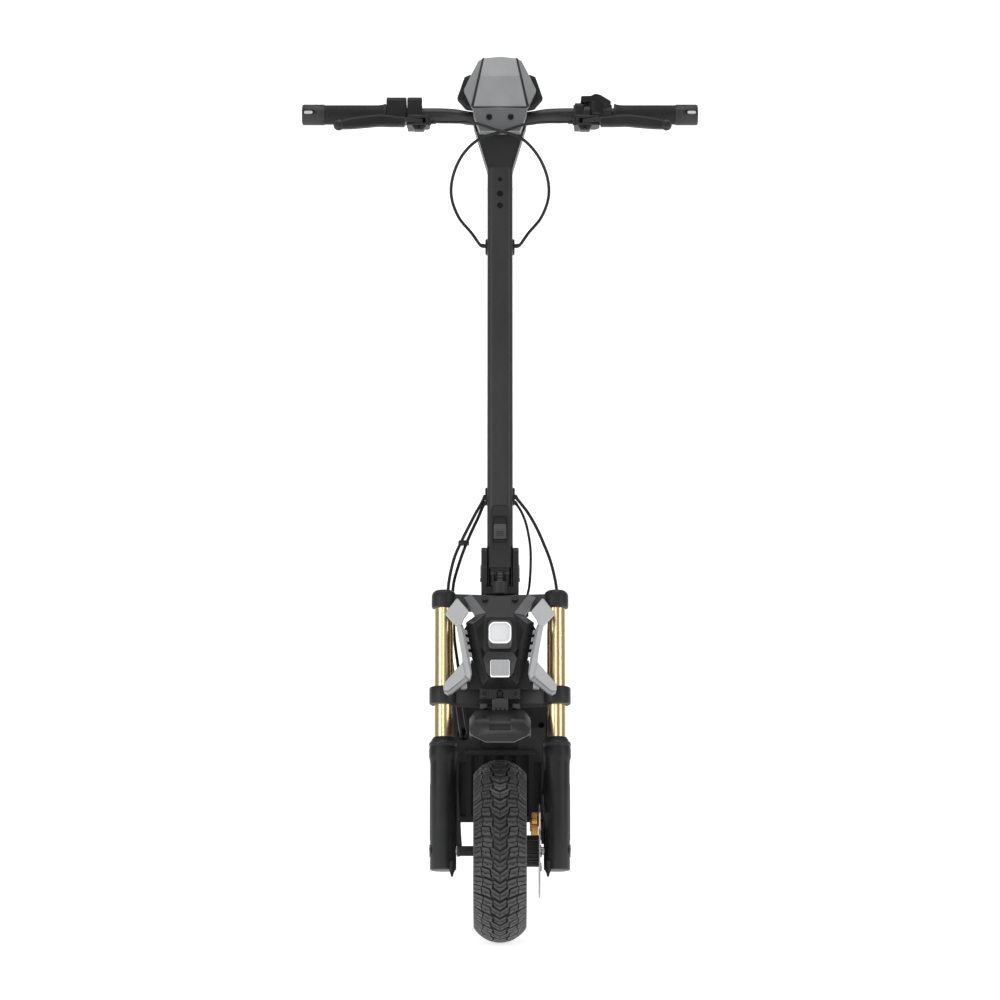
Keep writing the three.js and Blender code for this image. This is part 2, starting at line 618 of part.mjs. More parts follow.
function addFork() {
  for (const [name, side] of [['left', -1], ['right', 1]]) {
    place(forkFrame, `fork_leg_${name}`, forkLeg(side), BLACK);
    place(forkFrame, `stanchion_${name}`, stanchion(side), GOLD);
    place(forkFrame, `blade_${name}`, blade(side), SILVER);
  }
  place(forkFrame, 'lower_crown', lowerCrown(), BLACK);
  place(forkFrame, 'upper_crown', upperCrown(), BLACK);
  place(frontWheelFrame, 'front_axle', frontAxle(), STEEL);
  place(frontWheelFrame, 'front_caliper', frontCaliper(), COPPER);
  place(deckFrame, 'front_fender', frontFender(), DARK_GREY);
  place(forkFrame, 'headlight_mask', headlightMask(), BLACK);
  place(forkFrame, 'lamp_lens_upper', lampLens(16.7, 309.8, 340.7), LENS);
  place(forkFrame, 'lamp_lens_lower', lampLens(14.5, 256, 282), LENS);
}

function addStem() {
  place(forkFrame, 'fold_base', foldBase(), BLACK);
  place(forkFrame, 'fold_pin', rodX(5, -28.5, 28.5, ...FOLD_PIVOT), STEEL);
  place(forkFrame, 'stem_tube', stemTube(), BLACK);
  place(forkFrame, 'fold_slider', box([-10, 10], [1.5, 6.4], [474, 496]), DARK_GREY);
  place(forkFrame, 'stem_head', stemHead(), BLACK);
  place(forkFrame, 'handlebar', handlebar(), BLACK);
  place(forkFrame, 'display_body', displayBody(), BLACK);
  place(forkFrame, 'display_hood', displayHood(), HOOD_GREY);
}

function addControls() {
  for (const [name, side] of [['left', -1], ['right', 1]]) {
    place(forkFrame, `grip_${name}`, sleeve(side, GRIP_X, 15.5), RUBBER);
    place(forkFrame, `bar_end_${name}`, barEnd(side), BLACK);
    place(forkFrame, `brake_clamp_${name}`, brakeClamp(side), BLACK);
    place(forkFrame, `brake_lever_${name}`, brakeLever(side), BLACK);
    place(forkFrame, `hose_upper_${name}`, upperHose(side), HOSE);
  }
  place(forkFrame, 'throttle_housing', throttleHousing(), BLACK);
  place(forkFrame, 'throttle_paddle', throttlePaddle(), DARK_GREY);
  place(forkFrame, 'switch_housing', switchHousing(), BLACK);
  place(forkFrame, 'horn_button', hornButton(), COPPER);
  for (const [name, route] of Object.entries(LOWER_ROUTES)) {
    place(forkFrame, `hose_lower_${name}`, hose(route, name === 'right_inner' ? 1.6 : 2.4), HOSE);
  }
}

function addDeck() {
  place(deckFrame, 'frame_neck', frameNeck(), BLACK);
  place(deckFrame, 'neck_grille', neckGrille(), BLACK);
  place(deckFrame, 'deck_shell', deckShell(), BLACK);
  place(deckFrame, 'deck_bottom_cover', deckBottomCover(), BLACK);
  place(deckFrame, 'deck_mat', box([-92, 92], [266, 698], [DECK_Z[1] + GAP, DECK_Z[1] + 3]), RUBBER);
  place(deckFrame, 'battery_pack', box([-86, 86], [290, 600], [172, 238]), DARK_GREY);
  place(deckFrame, 'controller_box', box([-78, 78], [615, 745], [174, 222]), SILVER);
  place(deckFrame, 'kickstand_leg', kickstandLeg(), BLACK);
}

function addRear() {
  place(deckFrame, 'swingarm_pin', rodX(PIN_R, -61.7, 61.7, ...SWING_PIVOT), STEEL);
  place(deckFrame, 'swingarm', swingarm(), BLACK);
  place(deckFrame, 'rear_axle', rearAxle(), STEEL);
  place(deckFrame, 'rear_caliper', rearCaliper(), COPPER);
  place(deckFrame, 'rear_fender', rearFender(), BLACK);
  place(deckFrame, 'tail_light', tailLight(), RED_LENS);
}

addWheels();
addFork();
addStem();
addControls();
addDeck();
addRear();

export default scooter;
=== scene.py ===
"""Electric kick scooter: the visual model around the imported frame."""
import json
import math

import bmesh
import bpy
from mathutils import Matrix, Vector

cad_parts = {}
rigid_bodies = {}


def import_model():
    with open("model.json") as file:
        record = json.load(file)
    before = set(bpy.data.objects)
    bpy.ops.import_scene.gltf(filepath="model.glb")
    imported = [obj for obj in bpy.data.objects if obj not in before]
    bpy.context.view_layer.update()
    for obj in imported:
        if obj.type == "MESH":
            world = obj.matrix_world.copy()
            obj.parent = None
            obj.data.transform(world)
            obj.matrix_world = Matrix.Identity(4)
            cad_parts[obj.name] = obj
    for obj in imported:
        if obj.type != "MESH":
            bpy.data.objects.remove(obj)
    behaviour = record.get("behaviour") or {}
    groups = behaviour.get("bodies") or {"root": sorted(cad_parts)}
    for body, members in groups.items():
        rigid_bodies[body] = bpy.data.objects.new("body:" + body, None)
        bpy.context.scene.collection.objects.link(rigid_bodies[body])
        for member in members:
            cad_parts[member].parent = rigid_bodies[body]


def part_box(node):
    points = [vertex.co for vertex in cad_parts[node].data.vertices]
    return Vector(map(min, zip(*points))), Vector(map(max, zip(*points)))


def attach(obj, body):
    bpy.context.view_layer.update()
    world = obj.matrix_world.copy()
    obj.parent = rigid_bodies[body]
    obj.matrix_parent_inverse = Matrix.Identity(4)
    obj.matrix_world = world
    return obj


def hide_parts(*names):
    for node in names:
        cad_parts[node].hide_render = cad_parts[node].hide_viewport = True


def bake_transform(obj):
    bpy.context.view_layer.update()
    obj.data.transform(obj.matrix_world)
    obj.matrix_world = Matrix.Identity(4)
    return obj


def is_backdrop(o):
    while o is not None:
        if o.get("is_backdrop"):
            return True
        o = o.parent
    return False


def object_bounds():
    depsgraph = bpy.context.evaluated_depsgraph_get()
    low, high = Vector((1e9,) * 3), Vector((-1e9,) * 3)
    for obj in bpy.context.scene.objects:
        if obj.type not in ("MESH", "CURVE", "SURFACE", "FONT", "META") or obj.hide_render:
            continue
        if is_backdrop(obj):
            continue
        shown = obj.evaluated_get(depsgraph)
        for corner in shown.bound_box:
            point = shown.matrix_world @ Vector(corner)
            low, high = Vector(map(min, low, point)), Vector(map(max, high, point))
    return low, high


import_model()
cad_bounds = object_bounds()

# ------------------------------------------------------------------ places, in millimetres
MM = 0.001


def node_mid(node):
    low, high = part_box(node)
    return (Vector(low) + Vector(high)) / 2


FRONT_HUB = node_mid("front_tyre")
REAR_HUB = node_mid("rear_tyre")
AXLE_Z = FRONT_HUB.z / MM
WHEELBASE = (REAR_HUB.y - FRONT_HUB.y) / MM
TYRE_R = AXLE_Z
RAKE = math.radians(12)
STEER_T = 30.0
TUBE_X = 84.5
BAR_MID = (30.0, 1144.8)
BAR_END = (40.0, 1153.6)

# Fork axes: x across, t back, s up along the tubes, from the front axle.
FORK = Matrix.Translation(FRONT_HUB) @ Matrix.Rotation(-RAKE, 4, "X") @ Matrix.Scale(MM, 4)
# Deck axes: x across, y behind the front axle, z above the ground.
DECK = Matrix.Translation((0, FRONT_HUB.y, 0)) @ Matrix.Scale(MM, 4)
FRONT_WHEEL = Matrix.Translation(FRONT_HUB) @ Matrix.Scale(MM, 4)
REAR_WHEEL = Matrix.Translation(REAR_HUB) @ Matrix.Scale(MM, 4)


def up(z, t):
    """The fork's s at height z above the ground, t behind the tubes."""
    return (z - AXLE_Z + math.sin(RAKE) * t) / math.cos(RAKE)


# ------------------------------------------------------------------ materials
def material(name, color, rough, metal=0.0, vary=0.18, grain=1400.0, bump=0.12, spots=35.0,
             coat=0.0, edge_highlight=0.0, edge_highlight_color=(0.3, 0.3, 0.3), stretch=(1, 1, 1), rough_vary=0.07, shine=0.5):
    """A Principled surface with mottled colour and roughness, a fine grain bump and a painted highlight that lightens
    convex edges.
    """
    mat = bpy.data.materials.new(name)
    mat.use_nodes = True
    nodes = mat.node_tree.nodes
    links = mat.node_tree.links
    shader = nodes["Principled BSDF"]
    shader.inputs["Metallic"].default_value = metal
    shader.inputs["Coat Weight"].default_value = coat
    shader.inputs["Specular IOR Level"].default_value = shine
    shader.inputs["Coat Roughness"].default_value = 0.12
    place = nodes.new("ShaderNodeTexCoord")
    mapping = nodes.new("ShaderNodeMapping")
    mapping.inputs["Scale"].default_value = stretch
    links.new(place.outputs["Object"], mapping.inputs["Vector"])
    mottle = nodes.new("ShaderNodeTexNoise")
    mottle.inputs["Scale"].default_value = spots
    mottle.inputs["Detail"].default_value = 6
    links.new(mapping.outputs["Vector"], mottle.inputs["Vector"])
    ramp = nodes.new("ShaderNodeValToRGB")
    ramp.color_ramp.elements[0].position = 0.3
    ramp.color_ramp.elements[1].position = 0.7
    ramp.color_ramp.elements[0].color = (*[c * (1 - vary) for c in color], 1)
    ramp.color_ramp.elements[1].color = (*[min(1, c * (1 + vary)) for c in color], 1)
    links.new(mottle.outputs["Fac"], ramp.inputs["Fac"])
    color_out = ramp.outputs["Color"]
    # Painted highlight: where Pointiness is high (convex edges) the colour is mixed towards a lighter one, standing in
    # for light caught on the bevels.
    if edge_highlight:
        geometry = nodes.new("ShaderNodeNewGeometry")
        edge = nodes.new("ShaderNodeMapRange")
        edge.inputs["From Min"].default_value = 0.52
        edge.inputs["From Max"].default_value = 0.62
        edge.inputs["To Max"].default_value = edge_highlight
        links.new(geometry.outputs["Pointiness"], edge.inputs["Value"])
        mix = nodes.new("ShaderNodeMix")
        mix.data_type = "RGBA"
        links.new(edge.outputs["Result"], mix.inputs["Factor"])
        links.new(color_out, mix.inputs["A"])
        mix.inputs["B"].default_value = (*edge_highlight_color, 1)
        color_out = mix.outputs["Result"]
    links.new(color_out, shader.inputs["Base Color"])
    spread = nodes.new("ShaderNodeMapRange")
    spread.inputs["To Min"].default_value = max(0.03, rough - rough_vary)
    spread.inputs["To Max"].default_value = min(1.0, rough + rough_vary)
    links.new(mottle.outputs["Fac"], spread.inputs["Value"])
    links.new(spread.outputs["Result"], shader.inputs["Roughness"])
    fine = nodes.new("ShaderNodeTexNoise")
    fine.inputs["Scale"].default_value = grain
    fine.inputs["Detail"].default_value = 3
    links.new(mapping.outputs["Vector"], fine.inputs["Vector"])
    relief = nodes.new("ShaderNodeBump")
    relief.inputs["Strength"].default_value = bump
    relief.inputs["Distance"].default_value = 0.0002
    links.new(fine.outputs["Fac"], relief.inputs["Height"])
    links.new(relief.outputs["Normal"], shader.inputs["Normal"])
    return mat


def lamp_material(name, color, glow):
    """Frosted lens over a lit reflector: pale, smooth, with a fine prism pattern and a faint glow."""
    mat = material(name, color, 0.22, vary=0.04, grain=900, bump=0.1, coat=0.6)
    shader = mat.node_tree.nodes["Principled BSDF"]
    shader.inputs["Emission Color"].default_value = (*color, 1)
    shader.inputs["Emission Strength"].default_value = glow
    return mat


BLACK = material("black_powder_coat", (0.0135, 0.0138, 0.0145), 0.4, shine=0.3, vary=0.22, grain=2600, bump=0.22,
                 edge_highlight=0.35, edge_highlight_color=(0.12, 0.12, 0.125))
BLACK_TUBE = material("black_tube_anodised", (0.022, 0.0224, 0.0232), 0.36, shine=0.4, metal=0.1, vary=0.15, grain=1800,
                      bump=0.1, stretch=(1, 1, 0.2), edge_highlight=0.3, edge_highlight_color=(0.14, 0.14, 0.145))
PLASTIC = material("black_moulded_plastic", (0.0095, 0.0097, 0.0102), 0.46, shine=0.28, vary=0.2, grain=3200, bump=0.3,
                   edge_highlight=0.3, edge_highlight_color=(0.1, 0.1, 0.105))
MASK_BLACK = material("mask_moulding", (0.0155, 0.0158, 0.0164), 0.4, shine=0.3, vary=0.16, grain=3600, bump=0.2,
                      edge_highlight=0.35, edge_highlight_color=(0.13, 0.13, 0.135))
DARK_GREY = material("dark_grey_moulding", (0.05, 0.051, 0.053), 0.45, shine=0.4, vary=0.14, grain=3000, bump=0.25,
                     edge_highlight=0.3, edge_highlight_color=(0.2, 0.2, 0.205))
ACCENT = material("grey_accent_paint", (0.15, 0.152, 0.158), 0.42, metal=0.2, vary=0.08, grain=2600, bump=0.15)
SILVER = material("silver_satin_paint", (0.45, 0.455, 0.47), 0.42, metal=0.25, vary=0.06, grain=3000, bump=0.1,
                  edge_highlight=0.3, edge_highlight_color=(0.75, 0.75, 0.76))
HOOD = material("hood_warm_grey", (0.31, 0.315, 0.32), 0.4, metal=0.3, vary=0.06, grain=2800, bump=0.1,
                edge_highlight=0.25, edge_highlight_color=(0.55, 0.55, 0.55))
GOLD = material("gold_anodised", (0.9, 0.71, 0.41), 0.25, metal=1.0, vary=0.05, grain=900, bump=0.04,
                stretch=(1, 1, 0.05), rough_vary=0.04)
COPPER = material("orange_anodised", (0.85, 0.4, 0.1), 0.3, metal=0.9, vary=0.12, grain=1800, bump=0.1,
                  edge_highlight=0.3, edge_highlight_color=(1.0, 0.7, 0.35))
STEEL = material("brushed_steel", (0.38, 0.38, 0.39), 0.34, metal=1.0, vary=0.1, grain=1600, bump=0.15,
                 stretch=(1, 6, 6))
BOLT = material("black_oxide_bolt", (0.02, 0.02, 0.022), 0.35, metal=0.7, vary=0.2, grain=2000, bump=0.1)
RUBBER = material("tyre_rubber", (0.019, 0.019, 0.0195), 0.42, shine=0.42, vary=0.3, grain=1600, bump=0.35, spots=60,
                  edge_highlight=0.5, edge_highlight_color=(0.085, 0.085, 0.086))
GRIP = material("grip_rubber", (0.011, 0.011, 0.0113), 0.6, shine=0.3, vary=0.2, grain=2600, bump=0.35,
                edge_highlight=0.3, edge_highlight_color=(0.07, 0.07, 0.07))
MAT_RUBBER = material("deck_mat_rubber", (0.014, 0.014, 0.0145), 0.7, shine=0.3, vary=0.25, grain=2200, bump=0.6)
HOSE = material("hose_jacket", (0.006, 0.006, 0.0065), 0.34, shine=0.35, vary=0.2, grain=2000, bump=0.08)
LENS = lamp_material("frosted_lens", (0.62, 0.63, 0.64), 0.1)
LENS_RIM = lamp_material("lens_edge", (0.95, 0.95, 0.96), 0.5)
LENS_LOW = lamp_material("prism_lens", (0.38, 0.385, 0.39), 0.06)
# Painted shade: a darker copy of the hood grey, for the chin that faces down.
HOOD_CHIN_SHADE = material("hood_chin_painted_shade", (0.13, 0.132, 0.136), 0.42, metal=0.2, vary=0.06, grain=2800, bump=0.1)
REFLECTOR = material("lamp_reflector", (0.12, 0.122, 0.125), 0.3, metal=0.5, vary=0.1, grain=1200, bump=0.1)
LED = lamp_material("indicator_lens", (0.55, 0.56, 0.55), 0.12)
RED = material("red_lens", (0.35, 0.008, 0.008), 0.15, vary=0.2, grain=700, bump=0.2, coat=0.8)
# Painted shade: near-black fill set into openings and gaps where only shade is seen.
SHADOW_FILL = material("shadow_black", (0.004, 0.004, 0.0042), 0.7, shine=0.15, vary=0.2, grain=2600, bump=0.2)
SCREEN = material("display_glass", (0.008, 0.009, 0.011), 0.1, vary=0.1, grain=500, bump=0.0, coat=1.0)


# ------------------------------------------------------------------ mesh building
def new_object(name, bm, axes):
    bm.transform(axes)
    bmesh.ops.recalc_face_normals(bm, faces=bm.faces)
    mesh = bpy.data.meshes.new(name)
    bm.to_mesh(mesh)
    bm.free()
    obj = bpy.data.objects.new(name, mesh)
    bpy.context.scene.collection.objects.link(obj)
    return obj


def apply_modifiers(obj):
    graph = bpy.context.evaluated_depsgraph_get()
    graph.update()
    mesh = bpy.data.meshes.new_from_object(obj.evaluated_get(graph))
    obj.modifiers.clear()
    old = obj.data
    obj.data = mesh
    bpy.data.meshes.remove(old)


def carve(obj, *cutters, operation="DIFFERENCE"):
    for cutter in cutters:
        mod = obj.modifiers.new("cut", "BOOLEAN")
        mod.operation = operation
        mod.solver = "EXACT"
        mod.object = cutter
        apply_modifiers(obj)
        bpy.data.objects.remove(cutter)
    return obj


def dress(obj, mat, body, bevel=0.8, angle=30, segments=2, replaces=()):
    """Bevels in millimetres, smooth shading, the material and the body it rides on."""
    mesh = obj.data
    mesh.materials.clear()
    mesh.materials.append(mat)
    for poly in mesh.polygons:
        poly.material_index = 0
        poly.use_smooth = True
    if bevel:
        mod = obj.modifiers.new("bevel", "BEVEL")
        mod.width = bevel * MM
        mod.segments = segments
        mod.limit_method = "ANGLE"
        mod.angle_limit = math.radians(angle)
        mod.harden_normals = True
        mod.use_clamp_overlap = True
    else:
        mesh.set_sharp_from_angle(angle=math.radians(angle))
    if body:
        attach(obj, body)
    if replaces:
        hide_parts(*replaces)
    return obj


def prism(name, outline, axis, low, high, axes=FORK):
    """An outline carried along x, y or z from low to high; the outline gives the other two, in order."""
    order = {"x": (2, 0, 1), "y": (0, 2, 1), "z": (0, 1, 2)}[axis]
    bm = bmesh.new()
    rings = []
    for depth in (low, high):
        ring = []
        for a, b in outline:
            values = (a, b, depth)
            ring.append(bm.verts.new([values[i] for i in order]) if axis != "x" else bm.verts.new((depth, a, b)))
        rings.append(ring)
    count = len(outline)
    bm.faces.new(rings[0])
    bm.faces.new(rings[1][::-1])
    for i in range(count):
        j = (i + 1) % count
        bm.faces.new((rings[0][i], rings[0][j], rings[1][j], rings[1][i]))
    return new_object(name, bm, axes)


def loft(name, rings, axes=FORK, caps=True):
    """Closed loops of equal length, skinned in order."""
    bm = bmesh.new()
    made = [[bm.verts.new(p) for p in ring] for ring in rings]
    count = len(made[0])
    for a, b in zip(made, made[1:]):
        for i in range(count):
            j = (i + 1) % count
            bm.faces.new((a[i], a[j], b[j], b[i]))
    if caps:
        bm.faces.new(made[0][::-1])
        bm.faces.new(made[-1])
    return new_object(name, bm, axes)


def block(name, x, y, z, axes=FORK):
    return prism(name, [(x[0], y[0]), (x[1], y[0]), (x[1], y[1]), (x[0], y[1])], "z", *z, axes=axes)


def turned(name, profile, axis, centre=(0, 0, 0), axes=FORK, sides=48, closed=False):
    """A profile of (radius, along) turned about x, y or z through centre."""
    bm = bmesh.new()
    rings = []
    for radius, along in profile:
        ring = []
        if radius < 1e-6:
            ring = [bm.verts.new(_on_axis(axis, 0, 0, along, centre))] * sides
        else:
            for i in range(sides):
                angle = 2 * math.pi * i / sides
                ring.append(bm.verts.new(_on_axis(axis, radius * math.cos(angle), radius * math.sin(angle),
                                                  along, centre)))
        rings.append(ring)
    pairs = list(zip(rings, rings[1:]))
    if closed:
        pairs.append((rings[-1], rings[0]))
    for a, b in pairs:
        for i in range(sides):
            j = (i + 1) % sides
            corners = []
            for vert in (a[i], a[j], b[j], b[i]):
                if vert not in corners:
                    corners.append(vert)
            if len(corners) > 2:
                bm.faces.new(corners)
    return new_object(name, bm, axes)


def _on_axis(axis, a, b, along, centre):
    cx, cy, cz = centre
    if axis == "x":
        return (cx + along, cy + a, cz + b)
    if axis == "y":
        return (cx + a, cy + along, cz + b)
    return (cx + a, cy + b, cz + along)


def rod(name, radius, low, high, axis, centre, axes=FORK, sides=40, chamfer=0.0):
    c = chamfer
    if c:
        profile = [(0, low), (radius - c, low), (radius, low + c), (radius, high - c), (radius - c, high), (0, high)]
    else:
        profile = [(0, low), (radius, low), (radius, high), (0, high)]
    return turned(name, profile, axis, centre, axes, sides)


def arc(cx, cy, radius, start, end, steps):
    return [(cx + radius * math.cos(math.radians(start + (end - start) * i / steps)),
             cy + radius * math.sin(math.radians(start + (end - start) * i / steps))) for i in range(steps + 1)]


def flip(points):
    return [(-x, *rest) for x, *rest in points][::-1]


def both(half):
    """A half outline on +x, from bottom to top, closed by its mirror."""
    return [*half, *flip(half)]


def hull(points):
    ordered = sorted(points)

    def chain(items):
        kept = []
        for p in items:
            while len(kept) > 1 and ((kept[-1][0] - kept[-2][0]) * (p[1] - kept[-2][1])
                                     - (kept[-1][1] - kept[-2][1]) * (p[0] - kept[-2][0])) <= 1e-9:
                kept.pop()
            kept.append(p)
        return kept[:-1]

    return chain(ordered) + chain(ordered[::-1])


def rounded(width, height, radius, cx=0.0, cy=0.0, steps=6):
    w, h = width / 2 - radius, height / 2 - radius
    points = []
    for x, y, start in ((w, h, 0), (-w, h, 90), (-w, -h, 180), (w, -h, 270)):
        points += arc(cx + x, cy + y, radius, start, start + 90, steps)
    return points


def smooth_path(points, per_span=8):
    """Centripetal-style Catmull-Rom points through the given ones."""
    pts = [Vector(p) for p in points]
    pts = [pts[0] * 2 - pts[1]] + pts + [pts[-1] * 2 - pts[-2]]
    path = []
    for a, b, c, d in zip(pts, pts[1:], pts[2:], pts[3:]):
        for i in range(per_span):
            u = i / per_span
            path.append(0.5 * ((2 * b) + (c - a) * u + (2 * a - 5 * b + 4 * c - d) * u * u
                               + (3 * b - a - 3 * c + d) * u ** 3))
    path.append(pts[-2])
    return path


def swept(name, path, radii, axes=FORK, sides=16, section=None):
    """A tube along a path; radii is one number or one for each point, section an optional (u, v) outline."""
    path = [Vector(p) for p in path]
    if not isinstance(radii, (list, tuple)):
        radii = [radii] * len(path)
    tangents = []
    for i in range(len(path)):
        a = path[max(0, i - 1)]
        b = path[min(len(path) - 1, i + 1)]
        tangents.append((b - a).normalized())
    normal = tangents[0].orthogonal().normalized()
    if abs(tangents[0].x) > 0.5:
        normal = Vector((0, 0, 1)) - tangents[0] * tangents[0].z
        normal.normalize()
    outline = section or arc(0, 0, 1, 0, 360 - 360 / sides, sides - 1)
    rings = []
    for point, tangent, radius in zip(path, tangents, radii):
        normal = (normal - tangent * normal.dot(tangent)).normalized()
        side = tangent.cross(normal)
        rings.append([point + (normal * v + side * u) * radius for u, v in outline])
    return loft(name, rings, axes)


def screw(name, centre, normal, radius, body, axes=FORK, mat=None, height=None):
    """A socket-head screw: a chamfered head with a hexagonal socket."""
    height = height or radius * 0.55
    socket = radius * 0.55
    profile = [(radius, 0), (radius, height * 0.75), (radius * 0.86, height)]
    sides = 24
    bm = bmesh.new()
    rings = [[bm.verts.new((r * math.cos(2 * math.pi * i / sides), r * math.sin(2 * math.pi * i / sides), h))
              for i in range(sides)] for r, h in profile]

    def hexagon(h):
        ring = []
        for i in range(sides):
            angle = 2 * math.pi * i / sides
            wedge = (angle % (math.pi / 3)) - math.pi / 6
            reach = socket * math.cos(math.pi / 6) / math.cos(wedge)
            ring.append(bm.verts.new((reach * math.cos(angle), reach * math.sin(angle), h)))
        return ring

    rings += [hexagon(height), hexagon(height * 0.25)]
    for a, b in zip(rings, rings[1:]):
        for i in range(sides):
            j = (i + 1) % sides
            bm.faces.new((a[i], a[j], b[j], b[i]))
    bm.faces.new(rings[0][::-1])
    bm.faces.new(rings[-1])
    turn = Vector((0, 0, 1)).rotation_difference(Vector(normal)).to_matrix().to_4x4()
    obj = new_object(name, bm, axes @ Matrix.Translation(centre) @ turn)
    return dress(obj, mat or BOLT, body, bevel=0)


# ------------------------------------------------------------------ camera, light and floor
def camera_and_stage():
    camera = bpy.data.objects.new("camera", bpy.data.cameras.new("camera"))
    camera.location = (0, FRONT_HUB.y - 6.0, 0.657)
    camera.rotation_euler = (math.radians(90), 0, 0)
    camera.data.lens = 145.4
    camera.data.sensor_width = 36
    camera.data.clip_end = 60
    bpy.context.scene.collection.objects.link(camera)
    bpy.context.scene.camera = camera

    def area(name, location, target, size, power):
        data = bpy.data.lights.new(name, "AREA")
        data.shape = "RECTANGLE"
        data.size, data.size_y = size
        data.energy = power
        light = bpy.data.objects.new(name, data)
        light.location = location
        aim = Vector(target) - Vector(location)
        light.rotation_euler = aim.to_track_quat("-Z", "Y").to_euler()
        bpy.context.scene.collection.objects.link(light)

    area("key_left", (-2.6, -2.9, 1.5), (0, -0.3, 0.7), (1.7, 2.6), 30)
    area("key_right", (2.9, -2.5, 1.5), (0, -0.3, 0.7), (1.2, 2.6), 22)
    area("top", (0, -0.6, 3.4), (0, -0.3, 0.4), (2.0, 2.0), 30)
    area("low_front", (-0.5, -4.6, 1.9), (0, -0.5, 0.5), (1.6, 1.2), 12)

    world = bpy.data.worlds.new("studio")
    bpy.context.scene.world = world
    world.use_nodes = True
    back = world.node_tree.nodes["Background"]
    back.inputs["Color"].default_value = (1, 1, 1, 1)
    back.inputs["Strength"].default_value = 0.27
    bpy.context.scene.view_settings.view_transform = "Standard"

    bm = bmesh.new()
    profile = [(-16, 0)] + [(11.0 + 2.5 * math.sin(a), 2.5 - 2.5 * math.cos(a))
                            for a in [math.pi / 2 * i / 16 for i in range(17)]] + [(13.5, 12)]
    rows = [[bm.verts.new((x, y, z)) for x in (-16, 16)] for y, z in profile]
    for a, b in zip(rows, rows[1:]):
        bm.faces.new((a[0], a[1], b[1], b[0]))
    floor = new_object("studio_floor", bm, Matrix.Identity(4))
    mat = bpy.data.materials.new("studio_white")
    mat.use_nodes = True
    shader = mat.node_tree.nodes["Principled BSDF"]
    shader.inputs["Base Color"].default_value = (0.95, 0.95, 0.95, 1)
    shader.inputs["Roughness"].default_value = 0.9
    shader.inputs["Emission Color"].default_value = (1, 1, 1, 1)
    shader.inputs["Emission Strength"].default_value = 0.72
    floor.data.materials.append(mat)
    for poly in floor.data.polygons:
        poly.use_smooth = True
    floor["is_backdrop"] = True


# ------------------------------------------------------------------ tyres and wheels
CROWN_R = 46.0
TREAD_DEPTH = 4.2
PITCHES = 27


def tyre_point(w, depth, turn, centre_r=TYRE_R):
    """A point w millimetres across the crown's arc, depth below the tread, at a turn in radians."""
    phi = w / CROWN_R
    reach = CROWN_R - depth
    x = reach * math.sin(phi)
    r = centre_r - CROWN_R + reach * math.cos(phi)
    return (x, -r * math.cos(turn), r * math.sin(turn))


def tread_blocks():
    """One pitch of tread on the right half: outlines as (w, u), u in millimetres down the front."""
    def zigzag(left, right, mid, shift):
        fractions = ((0.0, 0.0), (0.3, 0.0), (0.43, 1.5), (0.57, 1.5), (0.7, -0.4), (1.0, -0.4))
        return [(left[0] + (right[0] - left[0]) * f, mid(f) + dip + shift) for f, dip in fractions]

    def split(outer_top, outer_bottom, inner_bottom, inner_top):
        """A four-cornered block is cut in two by a thin wavy sipe."""
        half = 0.4
        left_mid = ((outer_top[0] + outer_bottom[0]) / 2, (outer_top[1] + outer_bottom[1]) / 2)
        right_mid = ((inner_top[0] + inner_bottom[0]) / 2, (inner_top[1] + inner_bottom[1]) / 2)

        def mid(f):
            return left_mid[1] + (right_mid[1] - left_mid[1]) * f

        upper = [outer_top, *zigzag(left_mid, right_mid, mid, -half), inner_top]
        lower = [*zigzag(left_mid, right_mid, mid, half), inner_bottom, outer_bottom]
        return [upper, lower]

    half_pitch = 2 * math.pi * TYRE_R / PITCHES / 2
    rows = []
    # centre: a joined chevron, then a split one
    rows += split((9.6, 0.0), (8.3, 11.6), (0.0, 18.0), (0.0, 6.6))
    rows += split((14.6, half_pitch - 3.4), (12.2, half_pitch + 8.4), (0.4, half_pitch + 17.6), (0.4, half_pitch + 6.0))
    # middle and shoulder, stepped against each other
    rows += split((25.2, -1.5), (26.6, 11.3), (12.4, 14.6), (10.9, 2.4))
    rows += split((29.2, half_pitch - 2.6), (27.4, half_pitch + 10.4), (14.0, half_pitch + 13.0),
                  (16.3, half_pitch + 0.2))
    rows += split((47.5, 1.0), (47.5, 14.4), (28.2, 12.6), (26.9, -0.8))
    rows += split((47.5, half_pitch + 1.0), (47.5, half_pitch + 14.4), (29.2, half_pitch + 11.0),
                  (30.9, half_pitch - 2.2))
    return rows


def tread(name, axes, body):
    """Raised blocks with chamfered tops, three rings each, around the whole tyre."""
    rows = tread_blocks()
    bm = bmesh.new()
    for side in (-1, 1):
        for outline in rows:
            count = len(outline)
            cw = sum(p[0] for p in outline) / count
            cu = sum(p[1] for p in outline) / count
            for i in range(PITCHES):
                rings = []
                for grow, depth in ((0.45, TREAD_DEPTH + 0.6), (0.0, 0.55), (-0.45, 0.05)):
                    ring = []
                    for w, u in outline:
                        reach = max(1.0, math.hypot(w - cw, u - cu))
                        ww = w + (w - cw) / reach * grow
                        if w == 0.0:
                            ww = 0.0
                        ww = max(0.0, ww)
                        uu = u + (u - cu) / reach * grow
                        turn = 2 * math.pi * i / PITCHES - uu / TYRE_R
                        ring.append(bm.verts.new(tyre_point(side * ww, depth, turn)))
                    rings.append(ring)
                for a, b in zip(rings, rings[1:]):
                    for k in range(count):
                        j = (k + 1) % count
                        bm.faces.new((a[k], a[j], b[j], b[k]))
                bm.faces.new(rings[-1])
                bm.faces.new(rings[0][::-1])
    bmesh.ops.remove_doubles(bm, verts=bm.verts, dist=0.02)
    return dress(new_object(name, bm, axes), RUBBER, body, bevel=0, angle=25)


